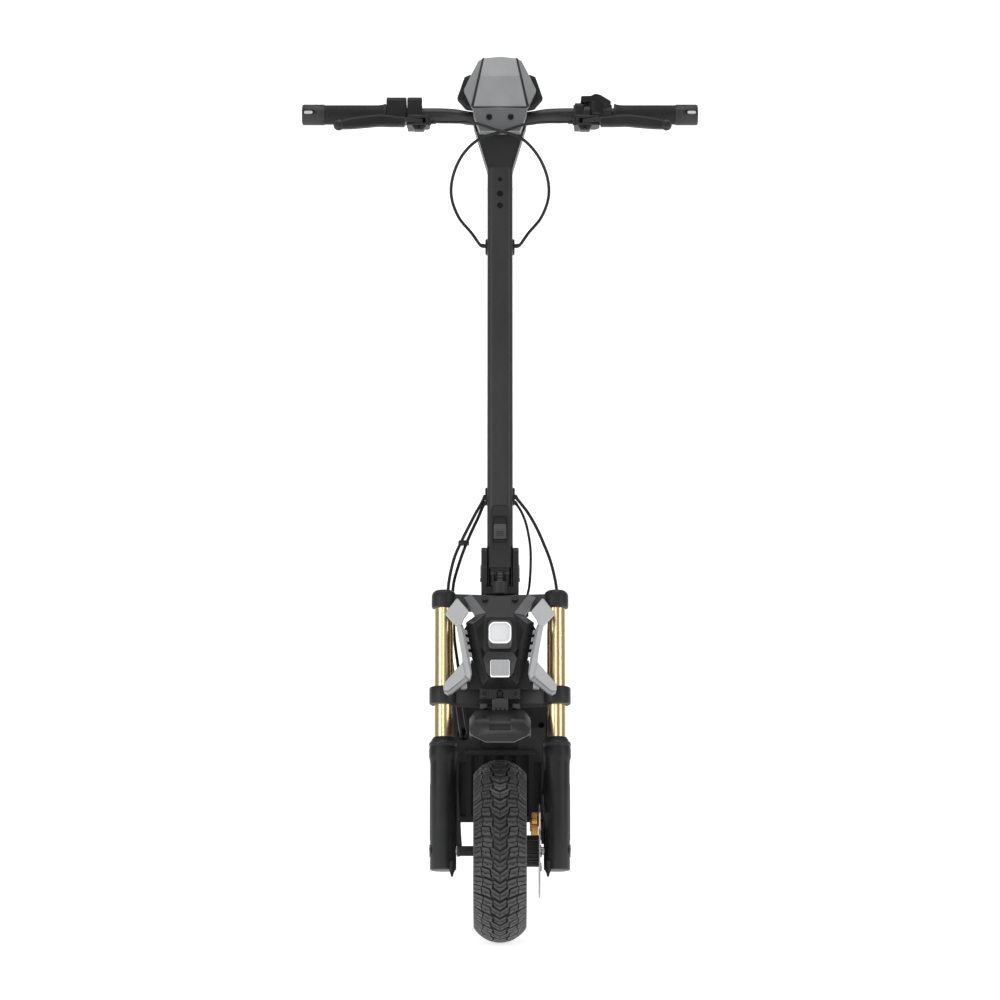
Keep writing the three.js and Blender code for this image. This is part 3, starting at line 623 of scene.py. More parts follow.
def tyre(end, axes, body):
    """The carcass: crown under the tread, sidewall with rings, and bead."""
    half = [(CROWN_R - TREAD_DEPTH, phi) for phi in range(0, 60, 6)]
    outer = [((CROWN_R - TREAD_DEPTH) * math.sin(math.radians(p)),
              TYRE_R - CROWN_R + (CROWN_R - TREAD_DEPTH) * math.cos(math.radians(p))) for _, p in half]
    wall = [(37.6, 111.5), (38.8, 108.5), (39.3, 104), (39.3, 100), (38.6, 97), (38.9, 95.6), (38.1, 94.2),
            (36.9, 90), (36.9, 88.4), (35.6, 87.4), (33.0, 83.0), (30.6, 80.0), (28.6, 78.7), (21, 78.7)]
    inner = [(24, 90), (30, 101), (27, 112), (17, 121), (0, 124.5)]
    section = outer + wall + inner
    loop = [(r, x) for x, r in section] + [(r, -x) for x, r in section[-2:0:-1]]
    obj = turned(f"{end}_tyre_carcass", loop, "x", axes=axes, sides=144, closed=True)
    dress(obj, RUBBER, body, bevel=0, angle=32, replaces=(f"{end}_tyre",))
    tread(f"{end}_tyre_tread", axes, body)


def ring_bolts(prefix, count, pitch_r, x, normal, radius, body, axes, mat=None, phase=0.0):
    for i in range(count):
        angle = 2 * math.pi * i / count + phase
        centre = (x, pitch_r * math.cos(angle), pitch_r * math.sin(angle))
        screw(f"{prefix}_{i + 1}", centre, normal, radius, body, axes, mat)


def disc(name, outer, inner, x0, x1, body, axes, node):
    """A vented brake rotor: a wavy outer edge, drilled slots and arms to an inner ring."""
    bm = bmesh.new()
    sides = 180
    waves = 12
    arms = 6

    def ring(radius, x, wave=0.0):
        verts = []
        for i in range(sides):
            angle = 2 * math.pi * i / sides
            reach = radius + wave * math.cos(waves * 2 * math.pi * i / sides)
            verts.append(bm.verts.new((x, reach * math.cos(angle), reach * math.sin(angle))))
        return verts

    def skin(a, b, keep=lambda i: True):
        for i in range(sides):
            if keep(i):
                j = (i + 1) % sides
                bm.faces.new((a[i], a[j], b[j], b[i]))

    radii = [(outer - 1.2, 1.0), (outer - 5, 0), (outer - 9, 0), (outer - 15, 0.8), (inner + 8, 0.6), (inner, 0)]
    front = [ring(r, x1, w) for r, w in radii]
    back = [ring(r, x0, w) for r, w in radii]

    def drilled(i):
        return i % 9 not in (3, 4)

    def arm(i):
        return (i % (sides // arms)) < 9

    keeps = [lambda i: True, drilled, lambda i: True, arm, lambda i: True]
    for k, keep in enumerate(keeps):
        skin(front[k], front[k + 1], keep)
        skin(back[k], back[k + 1], keep)
        for i in range(sides):
            before = keep((i - 1) % sides)
            if keep(i) != before:
                bm.faces.new((front[k][i], front[k + 1][i], back[k + 1][i], back[k][i]))
    for k in range(len(radii)):
        inside = keeps[k] if k < len(keeps) else (lambda i: False)
        outside = keeps[k - 1] if k > 0 else (lambda i: False)
        for i in range(sides):
            if inside(i) != outside(i):
                j = (i + 1) % sides
                bm.faces.new((front[k][i], front[k][j], back[k][j], back[k][i]))
    obj = new_object(name, bm, axes)
    return dress(obj, STEEL, body, bevel=0, angle=30, replaces=(node,))


def front_wheel():
    body = "front_wheel"
    tyre("front", FRONT_WHEEL, body)
    half = [(68, 0), (68.5, 14), (72, 22), (75.5, 26.5), (78.6, 28.6), (83.2, 30.2), (84.2, 31.6), (83.2, 32.6),
            (79, 32.2), (77.9, 30.6)]
    outer = [(77.9, 27.5), (76, 24), (74, 14), (74, 0)]
    section = half + outer
    loop = section + [(r, -x) for r, x in section[-2:0:-1]]
    rim = turned("front_rim_barrel", loop, "x", axes=FRONT_WHEEL, sides=96, closed=True)
    dress(rim, BLACK, body, bevel=0, angle=30, replaces=("front_rim",))
    hub = turned("front_hub", [(6.6, -36), (17, -36), (18, -35), (18, -30), (26, -24), (26, 24), (20, 30), (20, 36),
                               (17, 37), (17, 57.4), (6.6, 57.4)], "x", axes=FRONT_WHEEL, closed=True)
    dress(hub, BLACK, body, bevel=0.5)
    bm = bmesh.new()
    for i in range(6):
        turn = Matrix.Rotation(2 * math.pi * i / 6, 4, "X")
        points = []
        for z, width, depth in ((23, 9.5, 15), (40, 6.2, 10), (58, 6.6, 9), (70, 11, 13)):
            points.append([turn @ Vector(p) for p in ((-depth, -width, z), (depth, -width, z), (depth, width, z),
                                                      (-depth, width, z))])
        made = [[bm.verts.new(p) for p in ring] for ring in points]
        for a, b in zip(made, made[1:]):
            for k in range(4):
                j = (k + 1) % 4
                bm.faces.new((a[k], a[j], b[j], b[k]))
        bm.faces.new(made[0][::-1])
        bm.faces.new(made[-1])
    dress(new_object("front_rim_spokes", bm, FRONT_WHEEL), BLACK, body, bevel=1.6, segments=3)
    # The disc's carrier is fluted all round, with the ribs along the axle.
    flutes = []
    rib_count = 26
    for i in range(rib_count):
        for turn, radius in ((0.0, 21.9), (0.28, 21.9), (0.38, 23.6), (0.86, 23.6), (0.96, 21.9)):
            angle = 2 * math.pi * (i + turn) / rib_count
            flutes.append((radius * math.cos(angle), radius * math.sin(angle)))
    carrier = prism("front_disc_carrier", flutes, "x", 38.4, 57.4, axes=FRONT_WHEEL)
    carve(carrier, rod("bore", 17.5, 30, 60, "x", (0, 0, 0), FRONT_WHEEL))
    dress(carrier, BLACK, body, bevel=0.3, angle=25)
    disc("front_brake_rotor", 70, 24, 57.8, 59.6, body, FRONT_WHEEL, "front_disc")
    ring_bolts("front_rotor_bolt", 6, 27.5, 59.6, (1, 0, 0), 4.0, body, FRONT_WHEEL, BOLT, 0.1)


def rear_wheel():
    body = "rear_wheel"
    tyre("rear", REAR_WHEEL, body)
    half = [(76.5, 0), (76.5, 24), (78.6, 28.6), (83.2, 30.2), (84.2, 31.4), (83.2, 32.4), (79, 32.0), (74, 32.6),
            (70, 33.6), (66, 34.6), (62, 35.4), (40, 36.0), (36, 37.4), (22, 37.6), (21, 41.9), (7.4, 41.9)]
    left = [(r, -x) for r, x in half[::-1]]
    motor = turned("rear_motor_shell", half[::1] + left, "x", axes=REAR_WHEEL, sides=120, closed=True)
    dress(motor, BLACK, body, bevel=0, angle=24, replaces=("rear_hub_motor",))
    bm = bmesh.new()
    for side in (-1, 1):
        for i in range(18):
            turn = Matrix.Rotation(2 * math.pi * i / 18, 4, "X")
            ring0 = [turn @ Vector((side * 35.2, y, z)) for y, z in ((-2.2, 42), (2.2, 42), (2.9, 60), (-2.9, 60))]
            ring1 = [turn @ Vector((side * 36.9, y, z)) for y, z in ((-1.4, 43), (1.4, 43), (2.1, 59), (-2.1, 59))]
            a = [bm.verts.new(p) for p in ring0]
            b = [bm.verts.new(p) for p in ring1]
            for k in range(4):
                j = (k + 1) % 4
                bm.faces.new((a[k], a[j], b[j], b[k]))
            bm.faces.new(b)
            bm.faces.new(a[::-1])
    dress(new_object("rear_motor_ribs", bm, REAR_WHEEL), BLACK, body, bevel=0.4)
    for side in (-1, 1):
        ring_bolts(f"rear_motor_bolt_{'r' if side > 0 else 'l'}", 9, 67, side * 34.1, (side, 0, 0), 2.6, body,
                   REAR_WHEEL, BOLT, 0.17)
    disc("rear_brake_rotor", 60, 22.5, 43, 45, body, REAR_WHEEL, "rear_disc")
    ring_bolts("rear_rotor_bolt", 6, 26.5, 45, (1, 0, 0), 3.2, body, REAR_WHEEL, STEEL, 0.1)


# ------------------------------------------------------------------ fork, crowns and headlight
def face(points, t):
    """Points given as (x, height above the ground) on a plane t behind the tubes."""
    return [(x, up(z, t)) for x, z in points]


def facets(name, points, faces, back_t, axes=FORK):
    """A shell of flat facets: points (x, height, t) on the right half, mirrored, closed behind at back_t."""
    bm = bmesh.new()
    made = {}

    def vert(x, s, t):
        key = (round(x, 3), round(s, 3), round(t, 3))
        if key not in made:
            made[key] = bm.verts.new((x, t, s))
        return made[key]

    for ring in faces:
        for side in (1, -1):
            loop = [(side * points[k][0], up(points[k][1], points[k][2]), points[k][2]) for k in ring]
            if side < 0:
                loop = loop[::-1]
            verts = []
            for p in loop:
                v = vert(*p)
                if v not in verts:
                    verts.append(v)
            if len(verts) > 2:
                bm.faces.new(verts)
    border = [e for e in bm.edges if len(e.link_faces) == 1]
    behind = {}
    for e in border:
        for v in e.verts:
            if v not in behind:
                behind[v] = bm.verts.new((v.co.x, back_t, v.co.z))
    for e in border:
        a, b = e.verts
        bm.faces.new((a, b, behind[b], behind[a]))
    loop_edges = [bm.edges.get((behind[e.verts[0]], behind[e.verts[1]])) for e in border]
    bmesh.ops.edgeloop_fill(bm, edges=[e for e in loop_edges if e])
    return new_object(name, bm, axes)


def fork_lowers():
    body = "fork_lowers"
    for side, tag in ((-1, "left"), (1, "right")):
        x = side * TUBE_X
        profile = [(0, -29), (17.6, -29), (19.0, -28.4), (19.7, -27), (19.7, 128), (20.2, 134), (21.2, 139),
                   (21.5, 141), (21.5, 153), (21.0, 154.6), (21.0, 156.4), (21.5, 157.6), (21.5, 161.4),
                   (20.4, 163.2), (18.8, 164), (17.6, 164), (14.45, 164), (14.45, 20), (0, 20)]
        leg = turned(f"fork_leg_casting_{tag}", profile, "z", (x, 0, 0), sides=72)
        dress(leg, BLACK, body, bevel=0, angle=28, replaces=(f"fork_leg_{tag}",))
        wiper = [(14.3, 163), (18.3, 163), (18.3, 166), (17.6, 167.4), (16.2, 168.2), (15.6, 170.2), (14.3, 170.6)]
        dress(turned(f"fork_wiper_{tag}", wiper, "z", (x, 0, 0), sides=64, closed=True), PLASTIC, body, bevel=0)
        # The casting reaches in towards the wheel at the axle and tapers away up the leg.
        rings = []
        for s, reach, depth in ((-28, 13.6, 12), (-24, 17.8, 15), (16, 18.6, 15), (52, 17.4, 14), (84, 13, 10),
                                (104, 8, 6)):
            rings.append([(x - side * 2, -depth, s), (x - side * reach, -depth * 0.72, s),
                          (x - side * reach, depth * 0.72, s), (x - side * 2, depth, s)])
        rings = [[(px, py, pz) for px, py, pz in ring] for ring in rings]
        dress(loft(f"fork_leg_web_{tag}", rings), BLACK, body, bevel=2.5, segments=3)
        # Axle clamp: pinch bolts and the axle's end cap.
        out = x + side * 19.2
        cap = turned(f"axle_cap_{tag}", [(0, 0), (9.5, 0), (9.5, 1.2), (8.4, 1.9), (4.2, 1.9), (4.2, 0.6), (0, 0.6)],
                     "x", (out, 0, 0), sides=48)
        if side < 0:
            cap.data.transform(Matrix.Translation(FORK @ Vector((out, 0, 0))) @ Matrix.Scale(-1, 4, (1, 0, 0))
                               @ Matrix.Translation(-(FORK @ Vector((out, 0, 0)))))
            cap.data.flip_normals()
        dress(cap, STEEL, body, bevel=0)
        for s in (-17, -9):
            screw(f"axle_pinch_screw_{tag}_{-s}", (x + side * 6, 18.6, s), (side * 0.2, 1, 0), 3.2, body)
        # Drain peg with its cone under the front of the leg.
        peg = [(0, -40), (1.6, -40), (1.8, -38.6), (2.0, -38.4), (2.0, -36.6), (3.4, -33.6), (4.2, -31.6), (4.4, -29),
               (4.4, -18), (3.8, -16.6), (0, -16.6)]
        dress(turned(f"bleed_peg_{tag}", peg, "z", (x - side * 13.4, -15.8, 0), sides=24), PLASTIC, body, bevel=0)
        # Reflector strip with a serrated face on the outer side.
        teeth = []
        count = 22
        for i in range(count):
            s = 16 + i * 84 / count
            teeth += [(19.4, s), (20.4, s + 1.3), (19.4, s + 2.6)]
        strip = [(18.0, 14), (19.2, 14)] + teeth + [(19.4, 101), (18.0, 101)]
        outline = [(x + side * a, s) for a, s in strip]
        dress(prism(f"fork_strip_{tag}", outline, "y", -4.5, 4.5), PLASTIC, body, bevel=0, angle=20)
    # The axle, the strut inside the left leg and the post that carries the caliper on the right.
    dress(rod("front_axle_shaft", 6, -66, 66, "x", (0, 0, 0)), STEEL, body, bevel=0, replaces=("front_axle",))
    strut = [(-66, 104), (-61.6, 97), (-59.4, 60), (-57.6, 24), (-56.4, 7.6), (-66, 7.6)]
    dress(prism("fork_leg_inner_strut", strut, "y", 2, 9), BLACK, body, bevel=1.2)
    caliper_post = [(4, 12), (30, 18), (46, 40), (34, 54), (4, 42)]
    dress(prism("fork_caliper_post", caliper_post, "x", 62.2, 68), BLACK, body, bevel=1.2)
    dress(turned("front_axle_spacer", [(6.2, -64), (8.4, -64), (8.4, -60), (7.6, -59.4), (7.6, -40), (8.4, -39.4),
                                       (8.4, -36.4), (6.2, -36.4)], "x", closed=True), BLACK, body, bevel=0)


def caliper(name, axes, disc_x, body, mat, turn, reach, node, scale=1.0):
    """A two-piston brake caliper astride the rotor: faceted halves, a bridge, fins, piston caps, a banjo and bolts."""
    spin = axes @ Matrix.Rotation(math.radians(turn), 4, "X") @ Matrix.Translation((0, 0, reach))
    half_outline = [(-19, -11), (-14, -17), (14, -17), (19, -11), (19, 8), (12, 15), (-12, 15), (-19, 8)]
    outline = [(y * scale, z * scale) for y, z in half_outline]
    for side, tag, thick in ((-1, "inner", 10.5), (1, "outer", 7.6)):
        low = disc_x + side * 1.9
        high = disc_x + side * (1.9 + thick)
        half = prism(f"{name}_{tag}_half", outline, "x", min(low, high), max(low, high), axes=spin)
        dress(half, mat, body, bevel=1.6, segments=3, replaces=(node,) if side < 0 else ())
        cap = turned(f"{name}_{tag}_piston_cap", [(0, 0), (9.6, 0), (9.6, 1.0), (8.4, 1.9), (5.2, 1.9), (4.6, 1.0),
                                                  (0, 1.0)], "x", (high if side > 0 else high - 1.9, 0, -2), spin)
        if side < 0:
            cap.data.transform(spin @ Matrix.Translation((2 * high - 0.0, 0, 0)) @ Matrix.Scale(-1, 4, (1, 0, 0))
                               @ spin.inverted())
            cap.data.flip_normals()
            cap.data.transform(Matrix.Translation(spin.to_3x3() @ Vector((-1.9, 0, 0))))
        dress(cap, BOLT if side > 0 else mat, body, bevel=0)
        for k in (-1, 1):
            screw(f"{name}_{tag}_bolt_{k + 2}", (high, k * 13.4 * scale, 6 * scale), (side, 0, 0), 2.6, body, spin)
    bridge = prism(f"{name}_bridge", [(-13, 10), (13, 10), (11, 16.5), (-11, 16.5)], "x", disc_x - 6, disc_x + 6, spin)
    dress(bridge, mat, body, bevel=1.2)
    for k in range(4):
        rib = prism(f"{name}_fin_{k + 1}", [(-9 + k * 5.2, 9), (-6.6 + k * 5.2, 9), (-6.6 + k * 5.2, 18),
                                            (-9 + k * 5.2, 18)], "x", disc_x - 11, disc_x - 7, spin)
        dress(rib, mat, body, bevel=0.5)
    banjo_profile = [(0, 0), (5.2, 0), (5.2, 2.2), (4.4, 3), (0, 3)]
    banjo = turned(f"{name}_banjo", banjo_profile, "z", (disc_x - 6, 0, 16.5), spin, 24)
    dress(banjo, STEEL, body, bevel=0)


def front_brake():
    body = "fork_lowers"
    caliper("front_brake", FRONT_WHEEL, 58.7, body, COPPER, -55, 62, "front_caliper", 0.86)
    spin = FRONT_WHEEL @ Matrix.Rotation(math.radians(-55), 4, "X")
    plate = prism("front_brake_bracket", [(-24, 44), (24, 44), (17, 88), (8, 92), (-8, 92), (-17, 88)], "x", 61.6, 66,
                  spin)
    dress(plate, BLACK, body, bevel=0.8)
    for i, y in enumerate((-19, 19)):
        screw(f"front_brake_bracket_bolt_{i + 1}", (61.6, y, 52), (-1, 0, 0), 3.0, body, spin, BOLT)


def crown(name, low, high, clamp_r, boss_r, node):
    body = "steering"

    def circle(x, t, r, steps=40):
        return arc(x, t, r, 0, 360 - 360 / steps, steps - 1)

    arm_low, arm_high = low + 1.2, high - 1.2
    base = prism(name, circle(0, STEER_T, boss_r, 56), "z", arm_low, arm_high)
    parts = []
    for side in (-1, 1):
        outline = hull(circle(side * TUBE_X, 2, clamp_r * 0.72) + circle(side * 4, STEER_T - 4, boss_r * 0.86))
        parts.append(prism(f"{name}_arm", outline, "z", arm_low, arm_high))
    carve(base, *parts, operation="UNION")
    slots = []
    for side in (-1, 1):
        slots.append(rod(f"{name}_hole", 15.0, low - 5, high + 5, "z", (side * TUBE_X, 0, 0), sides=56))
        slots.append(prism(f"{name}_window", [(side * 46, 2), (side * 62, -3), (side * 62, 9), (side * 46, 15)], "z",
                           arm_high - 3, high + 5))
    slots.append(rod(f"{name}_core", 16.2 if node == "upper_crown" else 12, low - 5, high + 5, "z", (0, STEER_T, 0)))
    carve(base, *slots)
    dress(base, BLACK, body, bevel=1.4, segments=3, replaces=(node,))
    for side, tag in ((-1, "left"), (1, "right")):
        profile = [(15.0, low), (clamp_r - 2.2, low), (clamp_r - 0.6, low + 0.8), (clamp_r, low + 2.6),
                   (clamp_r, high - 2.2), (clamp_r - 0.6, high - 0.8), (clamp_r - 1.6, high), (15.0, high)]
        ring = turned(f"{name}_clamp_{tag}", profile, "z", (side * TUBE_X, 0, 0), sides=72, closed=True)
        gap = block(f"{name}_pinch", sorted((side * (TUBE_X - 1.0), side * (TUBE_X + 1.0))), (8, 40),
                    (low - 2, high + 2))
        carve(ring, gap)
        dress(ring, BLACK, body, bevel=0, angle=26)
        lug = block(f"{name}_lug_{tag}", (side * TUBE_X - 7.5, side * TUBE_X + 7.5), (clamp_r - 4, clamp_r + 4),
                    (low + 3, high - 3))
        slit = block(f"{name}_lug_slit", (side * TUBE_X - 1.0, side * TUBE_X + 1.0), (clamp_r - 10, clamp_r + 8),
                     (low - 1, high + 1))
        carve(lug, slit)
        dress(lug, BLACK, body, bevel=0.9)
        for i, s in enumerate((low + (high - low) * 0.32, low + (high - low) * 0.68)):
            screw(f"{name}_pinch_screw_{tag}_{i + 1}", (side * (TUBE_X - 7.5), clamp_r + 0.6, s), (-side, 0, 0), 2.6,
                  body)


def crowns():
    body = "steering"
    crown("lower_crown_casting", 219.6, 246, 21.5, 25, "lower_crown")
    crown("upper_crown_plate", 366, 388, 18.5, 27, "upper_crown")
    for side, tag in ((-1, "left"), (1, "right")):
        tube = turned(f"stanchion_tube_{tag}", [(0, 22), (14, 22), (14, 386), (0, 386)], "z", (side * TUBE_X, 0, 0),
                      sides=96)
        dress(tube, GOLD, body, bevel=0, replaces=(f"stanchion_{tag}",))
        profile = [(0, 387), (17.0, 388.1), (17.4, 388.9), (16.8, 390.0), (13.8, 392.6), (12.8, 393.1), (9.4, 393.2),
                   (8.6, 392.2), (6.2, 392.2), (6.2, 389.4), (0, 389.4)]
        dress(turned(f"fork_cap_{tag}", profile, "z", (side * TUBE_X, 0, 0), sides=56), BLACK, body, bevel=0)
        bosses = block(f"fork_cap_key_{tag}", (side * TUBE_X - 3, side * TUBE_X + 3), (-1.2, 1.2), (389.2, 391.4))
        dress(bosses, STEEL, body, bevel=0.3)
    # Steering spindle with its bearing cups and the lock ring above the lower crown.
    spindle = [(0, 222), (16, 222), (16, 367), (0, 367)]
    dress(turned("steerer_spindle", spindle, "z", (0, STEER_T, 0), sides=64), STEEL, body, bevel=0)
    for i, s in enumerate((247, 356)):
        cup = [(16.1, s), (22.5, s), (23.2, s + 1), (23.2, s + 4.4), (21.4, s + 6), (16.1, s + 6)]
        dress(turned(f"headset_ring_{i + 1}", cup, "z", (0, STEER_T, 0), sides=64, closed=True), BLACK, body, bevel=0)


def headlight():
    body = "steering"
    points = {
        "top_mid": (0, 513, -33), "top": (40.4, 514.4, -30), "top_out": (54.3, 511.4, -29),
        "waist_in": (20.4, 487.2, -47), "waist_mid": (0, 487.2, -49), "waist_out": (36.6, 484.6, -44),
        "cheek_in": (40.0, 471.7, -41), "cheek_out": (51, 473.3, -33),
        "jaw_in": (31.7, 422.3, -41), "jaw_out": (42, 421.6, -31),
        "chin_in": (18.2, 390.6, -47), "chin_out": (26.2, 382.6, -37), "chin_mid": (0, 389, -49),
        "base_out": (21, 376.4, -33), "base_mid": (0, 376.4, -33),
        "eye_top": (22.5, 482, -51.5), "eye_side": (24.5, 433, -51.5), "nose": (20, 431, -52),
        "nose_side": (25.2, 421.6, -52), "nose_low": (14.6, 392.8, -52), "eye_mid": (0, 482, -51.5),
        "nose_mid": (0, 392.8, -52), "bridge_mid": (0, 431, -52),
        "bay_top": (35.5, 461, -40.5), "bay_low": (27.6, 436, -41), "slit_low": (19.4, 402, -44),
    }
    faces = [
        ("top_mid", "top", "waist_in", "waist_mid"),
        ("top", "top_out", "waist_out", "waist_in"),
        ("waist_in", "waist_out", "cheek_out", "cheek_in"),
        ("waist_mid", "waist_in", "eye_top", "eye_mid"),
        ("waist_in", "cheek_in", "bay_top", "eye_top"),
        ("cheek_in", "cheek_out", "jaw_out", "jaw_in"),
        ("cheek_in", "jaw_in", "bay_low", "bay_top"),
        ("eye_top", "bay_top", "bay_low", "eye_side"),
        ("eye_mid", "eye_top", "eye_side", "nose", "bridge_mid"),
        ("eye_side", "bay_low", "slit_low", "nose_side", "nose"),
        ("bay_low", "jaw_in", "chin_in", "slit_low"),
        ("bridge_mid", "nose", "nose_side", "nose_low", "nose_mid"),
        ("nose_side", "slit_low", "chin_in", "nose_low"),
        ("nose_mid", "nose_low", "chin_in", "chin_mid"),
        ("jaw_in", "jaw_out", "chin_out", "chin_in"),
        ("chin_mid", "chin_in", "chin_out", "base_out", "base_mid"),
    ]
    shell = facets("headlight_shell", points, faces, -23)
    dress(shell, MASK_BLACK, body, bevel=0.5, angle=8, replaces=("headlight_mask",))
    for side, tag in ((-1, "left"), (1, "right")):
        # Painted strips folded over the shell's brow.
        def strip(name, corners, lift, mat):
            loop = [(side * x, up(z, t), t) for x, z, t in corners]
            front = [(x, t - lift, s) for x, s, t in loop]
            back = [(x, t + 1.2, s) for x, s, t in loop]
            dress(loft(name, [back, front]), mat, body, bevel=0.45)

        strip(f"brow_strip_{tag}", [(42.4, 515.2, -29.8), (54.0, 511.2, -29), (36.6, 485.2, -43.6),
                                    (20.9, 487.9, -46.6)], 1.1, ACCENT)
        strip(f"cheek_strip_{tag}", [(20.9, 486.8, -46.8), (36.8, 484.0, -43.8), (50.6, 473.9, -33.3),
                                     (40.4, 472.2, -40.8)], 1.1, DARK_GREY)
        screw(f"mask_screw_top_{tag}", (side * 22.5, -38.5, up(510.5, -38.5)), (0, -1, 0.45), 2.9, body, height=1.3)
        tab = turned(f"mask_screw_seat_{tag}", [(0, 0), (4.9, 0), (4.9, 2.0), (4.1, 2.7), (0, 2.7)], "z")
        tilt = Vector((0, 0, 1)).rotation_difference(Vector((0, -1, 0.45)).normalized()).to_matrix().to_4x4()
        tab.data.transform(FORK @ Matrix.Translation((side * 22.5, -36.2, up(510.5, -36.2))) @ tilt @ FORK.inverted())
        dress(tab, MASK_BLACK, body, bevel=0)
        # Narrow vents beside the lower lamp, filled with near-black as painted shade.
        vent = face([(26.4, 437), (28.6, 434.6), (20.6, 400.6), (18.2, 402.8)], -44)
        vent = [(side * x, s) for x, s in vent]
        dress(prism(f"mask_vent_{tag}", vent, "y", -43.6, -40), SHADOW_FILL, body, bevel=0.2)
        # Near-black plate behind the blade's teeth as painted shade (the comb), and the carrier that closes the corner
        # above the crown.
        comb_face = [(42, 470), (50.4, 468.4), (53.6, 463.4), (46.4, 428.2), (36, 428)]
        comb = [(side * x, s) for x, s in face(comb_face, -30)]
        dress(prism(f"mask_comb_{tag}", comb, "y", -32.6, -29), SHADOW_FILL, body, bevel=0.4)
        corner = [(side * x, s) for x, s in face([(28, 418), (43.4, 417), (44.2, 404), (49.8, 392), (49.8, 373.6),
                                                  (22, 373.6)], -18)]
        dress(prism(f"mask_carrier_{tag}", corner, "y", -21.5, -15), PLASTIC, body, bevel=0.8)
    # Upper lamp: deep bezel, stepped reflector, pillow lens with a bright rim.
    eye = face(rounded(42.4, 47.6, 8.5, 0, 457), -56)
    well = face(rounded(37.2, 43.6, 6.5, 0, 456.6), -56)
    bezel = prism("upper_lamp_bezel", eye, "y", -56.4, -46)
    carve(bezel, prism("well", well, "y", -60, -49.5))
    dress(bezel, PLASTIC, body, bevel=0.9, segments=3)
    tray = prism("upper_lamp_reflector", face(rounded(36.8, 42.8, 6.3, 0, 456.6), -54), "y", -53.6, -49.6)
    dress(tray, REFLECTOR, body, bevel=0.8)
    ledge = prism("upper_lamp_ledge", face([(-17.4, 444), (17.4, 444), (16.6, 436.6), (-16.6, 436.6)], -55), "y", -55.2,
                  -53)
    dress(ledge, DARK_GREY, body, bevel=0.6)
    crownbar = prism("upper_lamp_visor", face([(-14, 479), (14, 479), (16.5, 472), (-16.5, 472)], -55), "y", -55.2, -53)
    dress(crownbar, DARK_GREY, body, bevel=0.6)
    rim_outline = face(rounded(33.4, 31.2, 9.2, 0, 460), -58)
    dress(prism("upper_lens_rim", rim_outline, "y", -58.4, -53), LENS_RIM, body, bevel=1.0, segments=3,
          replaces=("lamp_lens_upper",))
    pillow = []
    for depth, shrink in ((-57.6, 1.3), (-59.2, 1.7), (-59.7, 3.0), (-59.95, 6.0)):
        pillow.append([(x, depth, s) for x, s in face(rounded(33.4 - 2 * shrink, 31.2 - 2 * shrink,
                                                              max(2.5, 9.2 - shrink), 0, 460), -59)])
    dress(loft("upper_lens", pillow), LENS, body, bevel=0, angle=40)
    # Lower lamp: six-sided surround and a squarer prism lens.
    surround = face([(-19.2, 431), (19.2, 431), (25, 421.6), (20.4, 402), (14.4, 393), (-14.4, 393), (-20.4, 402),
                     (-25, 421.6)], -54)
    socket = face(rounded(30.8, 28.0, 3.4, 0, 406.9), -56)
    holder = prism("lower_lamp_surround", surround, "y", -54.4, -48)
    carve(holder, prism("well", socket, "y", -60, -50))
    dress(holder, MASK_BLACK, body, bevel=0.9, segments=3)
    low_rim = face(rounded(28.8, 25.4, 2.8, 0, 407.0), -57)
    dress(prism("lower_lens_rim", low_rim, "y", -56.8, -50.5), LENS_RIM, body, bevel=0.7,
          replaces=("lamp_lens_lower",))
    low_lens = face(rounded(27.4, 23.4, 2.4, 0, 407.8), -58)
    dress(prism("lower_lens", low_lens, "y", -57.8, -56), LENS_LOW, body, bevel=0.6)
    ribs = bmesh.new()
    for i in range(12):
        x = -12.4 + i * 2.25
        ring = [(x - 0.55, -57.7), (x, -58.3), (x + 0.55, -57.7)]
        low = [ribs.verts.new((a, t, up(397.4, t))) for a, t in ring]
        high = [ribs.verts.new((a, t, up(418.4, t))) for a, t in ring]
        for k in range(3):
            j = (k + 1) % 3
            ribs.faces.new((low[k], low[j], high[j], high[k]))
        ribs.faces.new(low)
        ribs.faces.new(high[::-1])
    dress(new_object("lower_lens_prisms", ribs, FORK), LENS_LOW, body, bevel=0)
    # Bracket on the lower crown, its screws, the cable hole and the comb below.
    bracket = face([(-30.3, 375.8), (30.3, 375.8), (30.3, 362), (28.6, 360.4), (7, 360.4), (5.6, 363), (-5.6, 363),
                    (-7, 360.4), (-28.6, 360.4), (-30.3, 362)], -26)
    plate = prism("mask_bracket", bracket, "y", -27, -21)
    carve(plate, rod("hole", 4.9, -40, 0, "y", (0, 0, up(368.4, -26)), sides=32))
    dress(plate, BLACK, body, bevel=0.8)
    dress(prism("mask_bracket_arm", face([(-24, 375), (24, 375), (24, 364), (-24, 364)], -10), "y", -22, 12), BLACK,
          body, bevel=0.8)
    dress(rod("mask_bracket_plug", 4.4, -24.5, -22, "y", (0, 0, up(368.4, -26)), sides=32, chamfer=0.8), PLASTIC, body,
          bevel=0)
    for side, tag in ((-1, "left"), (1, "right")):
        centre = (side * 23, -27, up(368.2, -27))
        seat = turned(f"mask_bracket_seat_{tag}", [(3.7, 0), (5.8, 0), (5.8, -1.4), (5.2, -2.0), (3.7, -2.0)], "y",
                      centre, sides=40, closed=True)
        dress(seat, BLACK, body, bevel=0)
        screw(f"mask_bracket_screw_{tag}", centre, (0, -1, 0), 3.5, body, height=2.6)
        foot = face([(19, 352.4), (30, 352.4), (30, 345.4), (27.4, 343.6), (19, 346.4)], -14)
        foot = [(side * x, s) for x, s in foot]
        dress(prism(f"fender_ear_{tag}", foot, "y", -18, -6), DARK_GREY, body, bevel=0.8)
    comb = [(-11.8, 361), (11.8, 361)]
    for i in range(4):
        x = 12.6 - i * 6.6
        tooth = [(x, 341.4), (x - 4.4, 340.2), (x - 4.4, 346.6), (x - 5.9, 346.6), (x - 5.9, 341.0)]
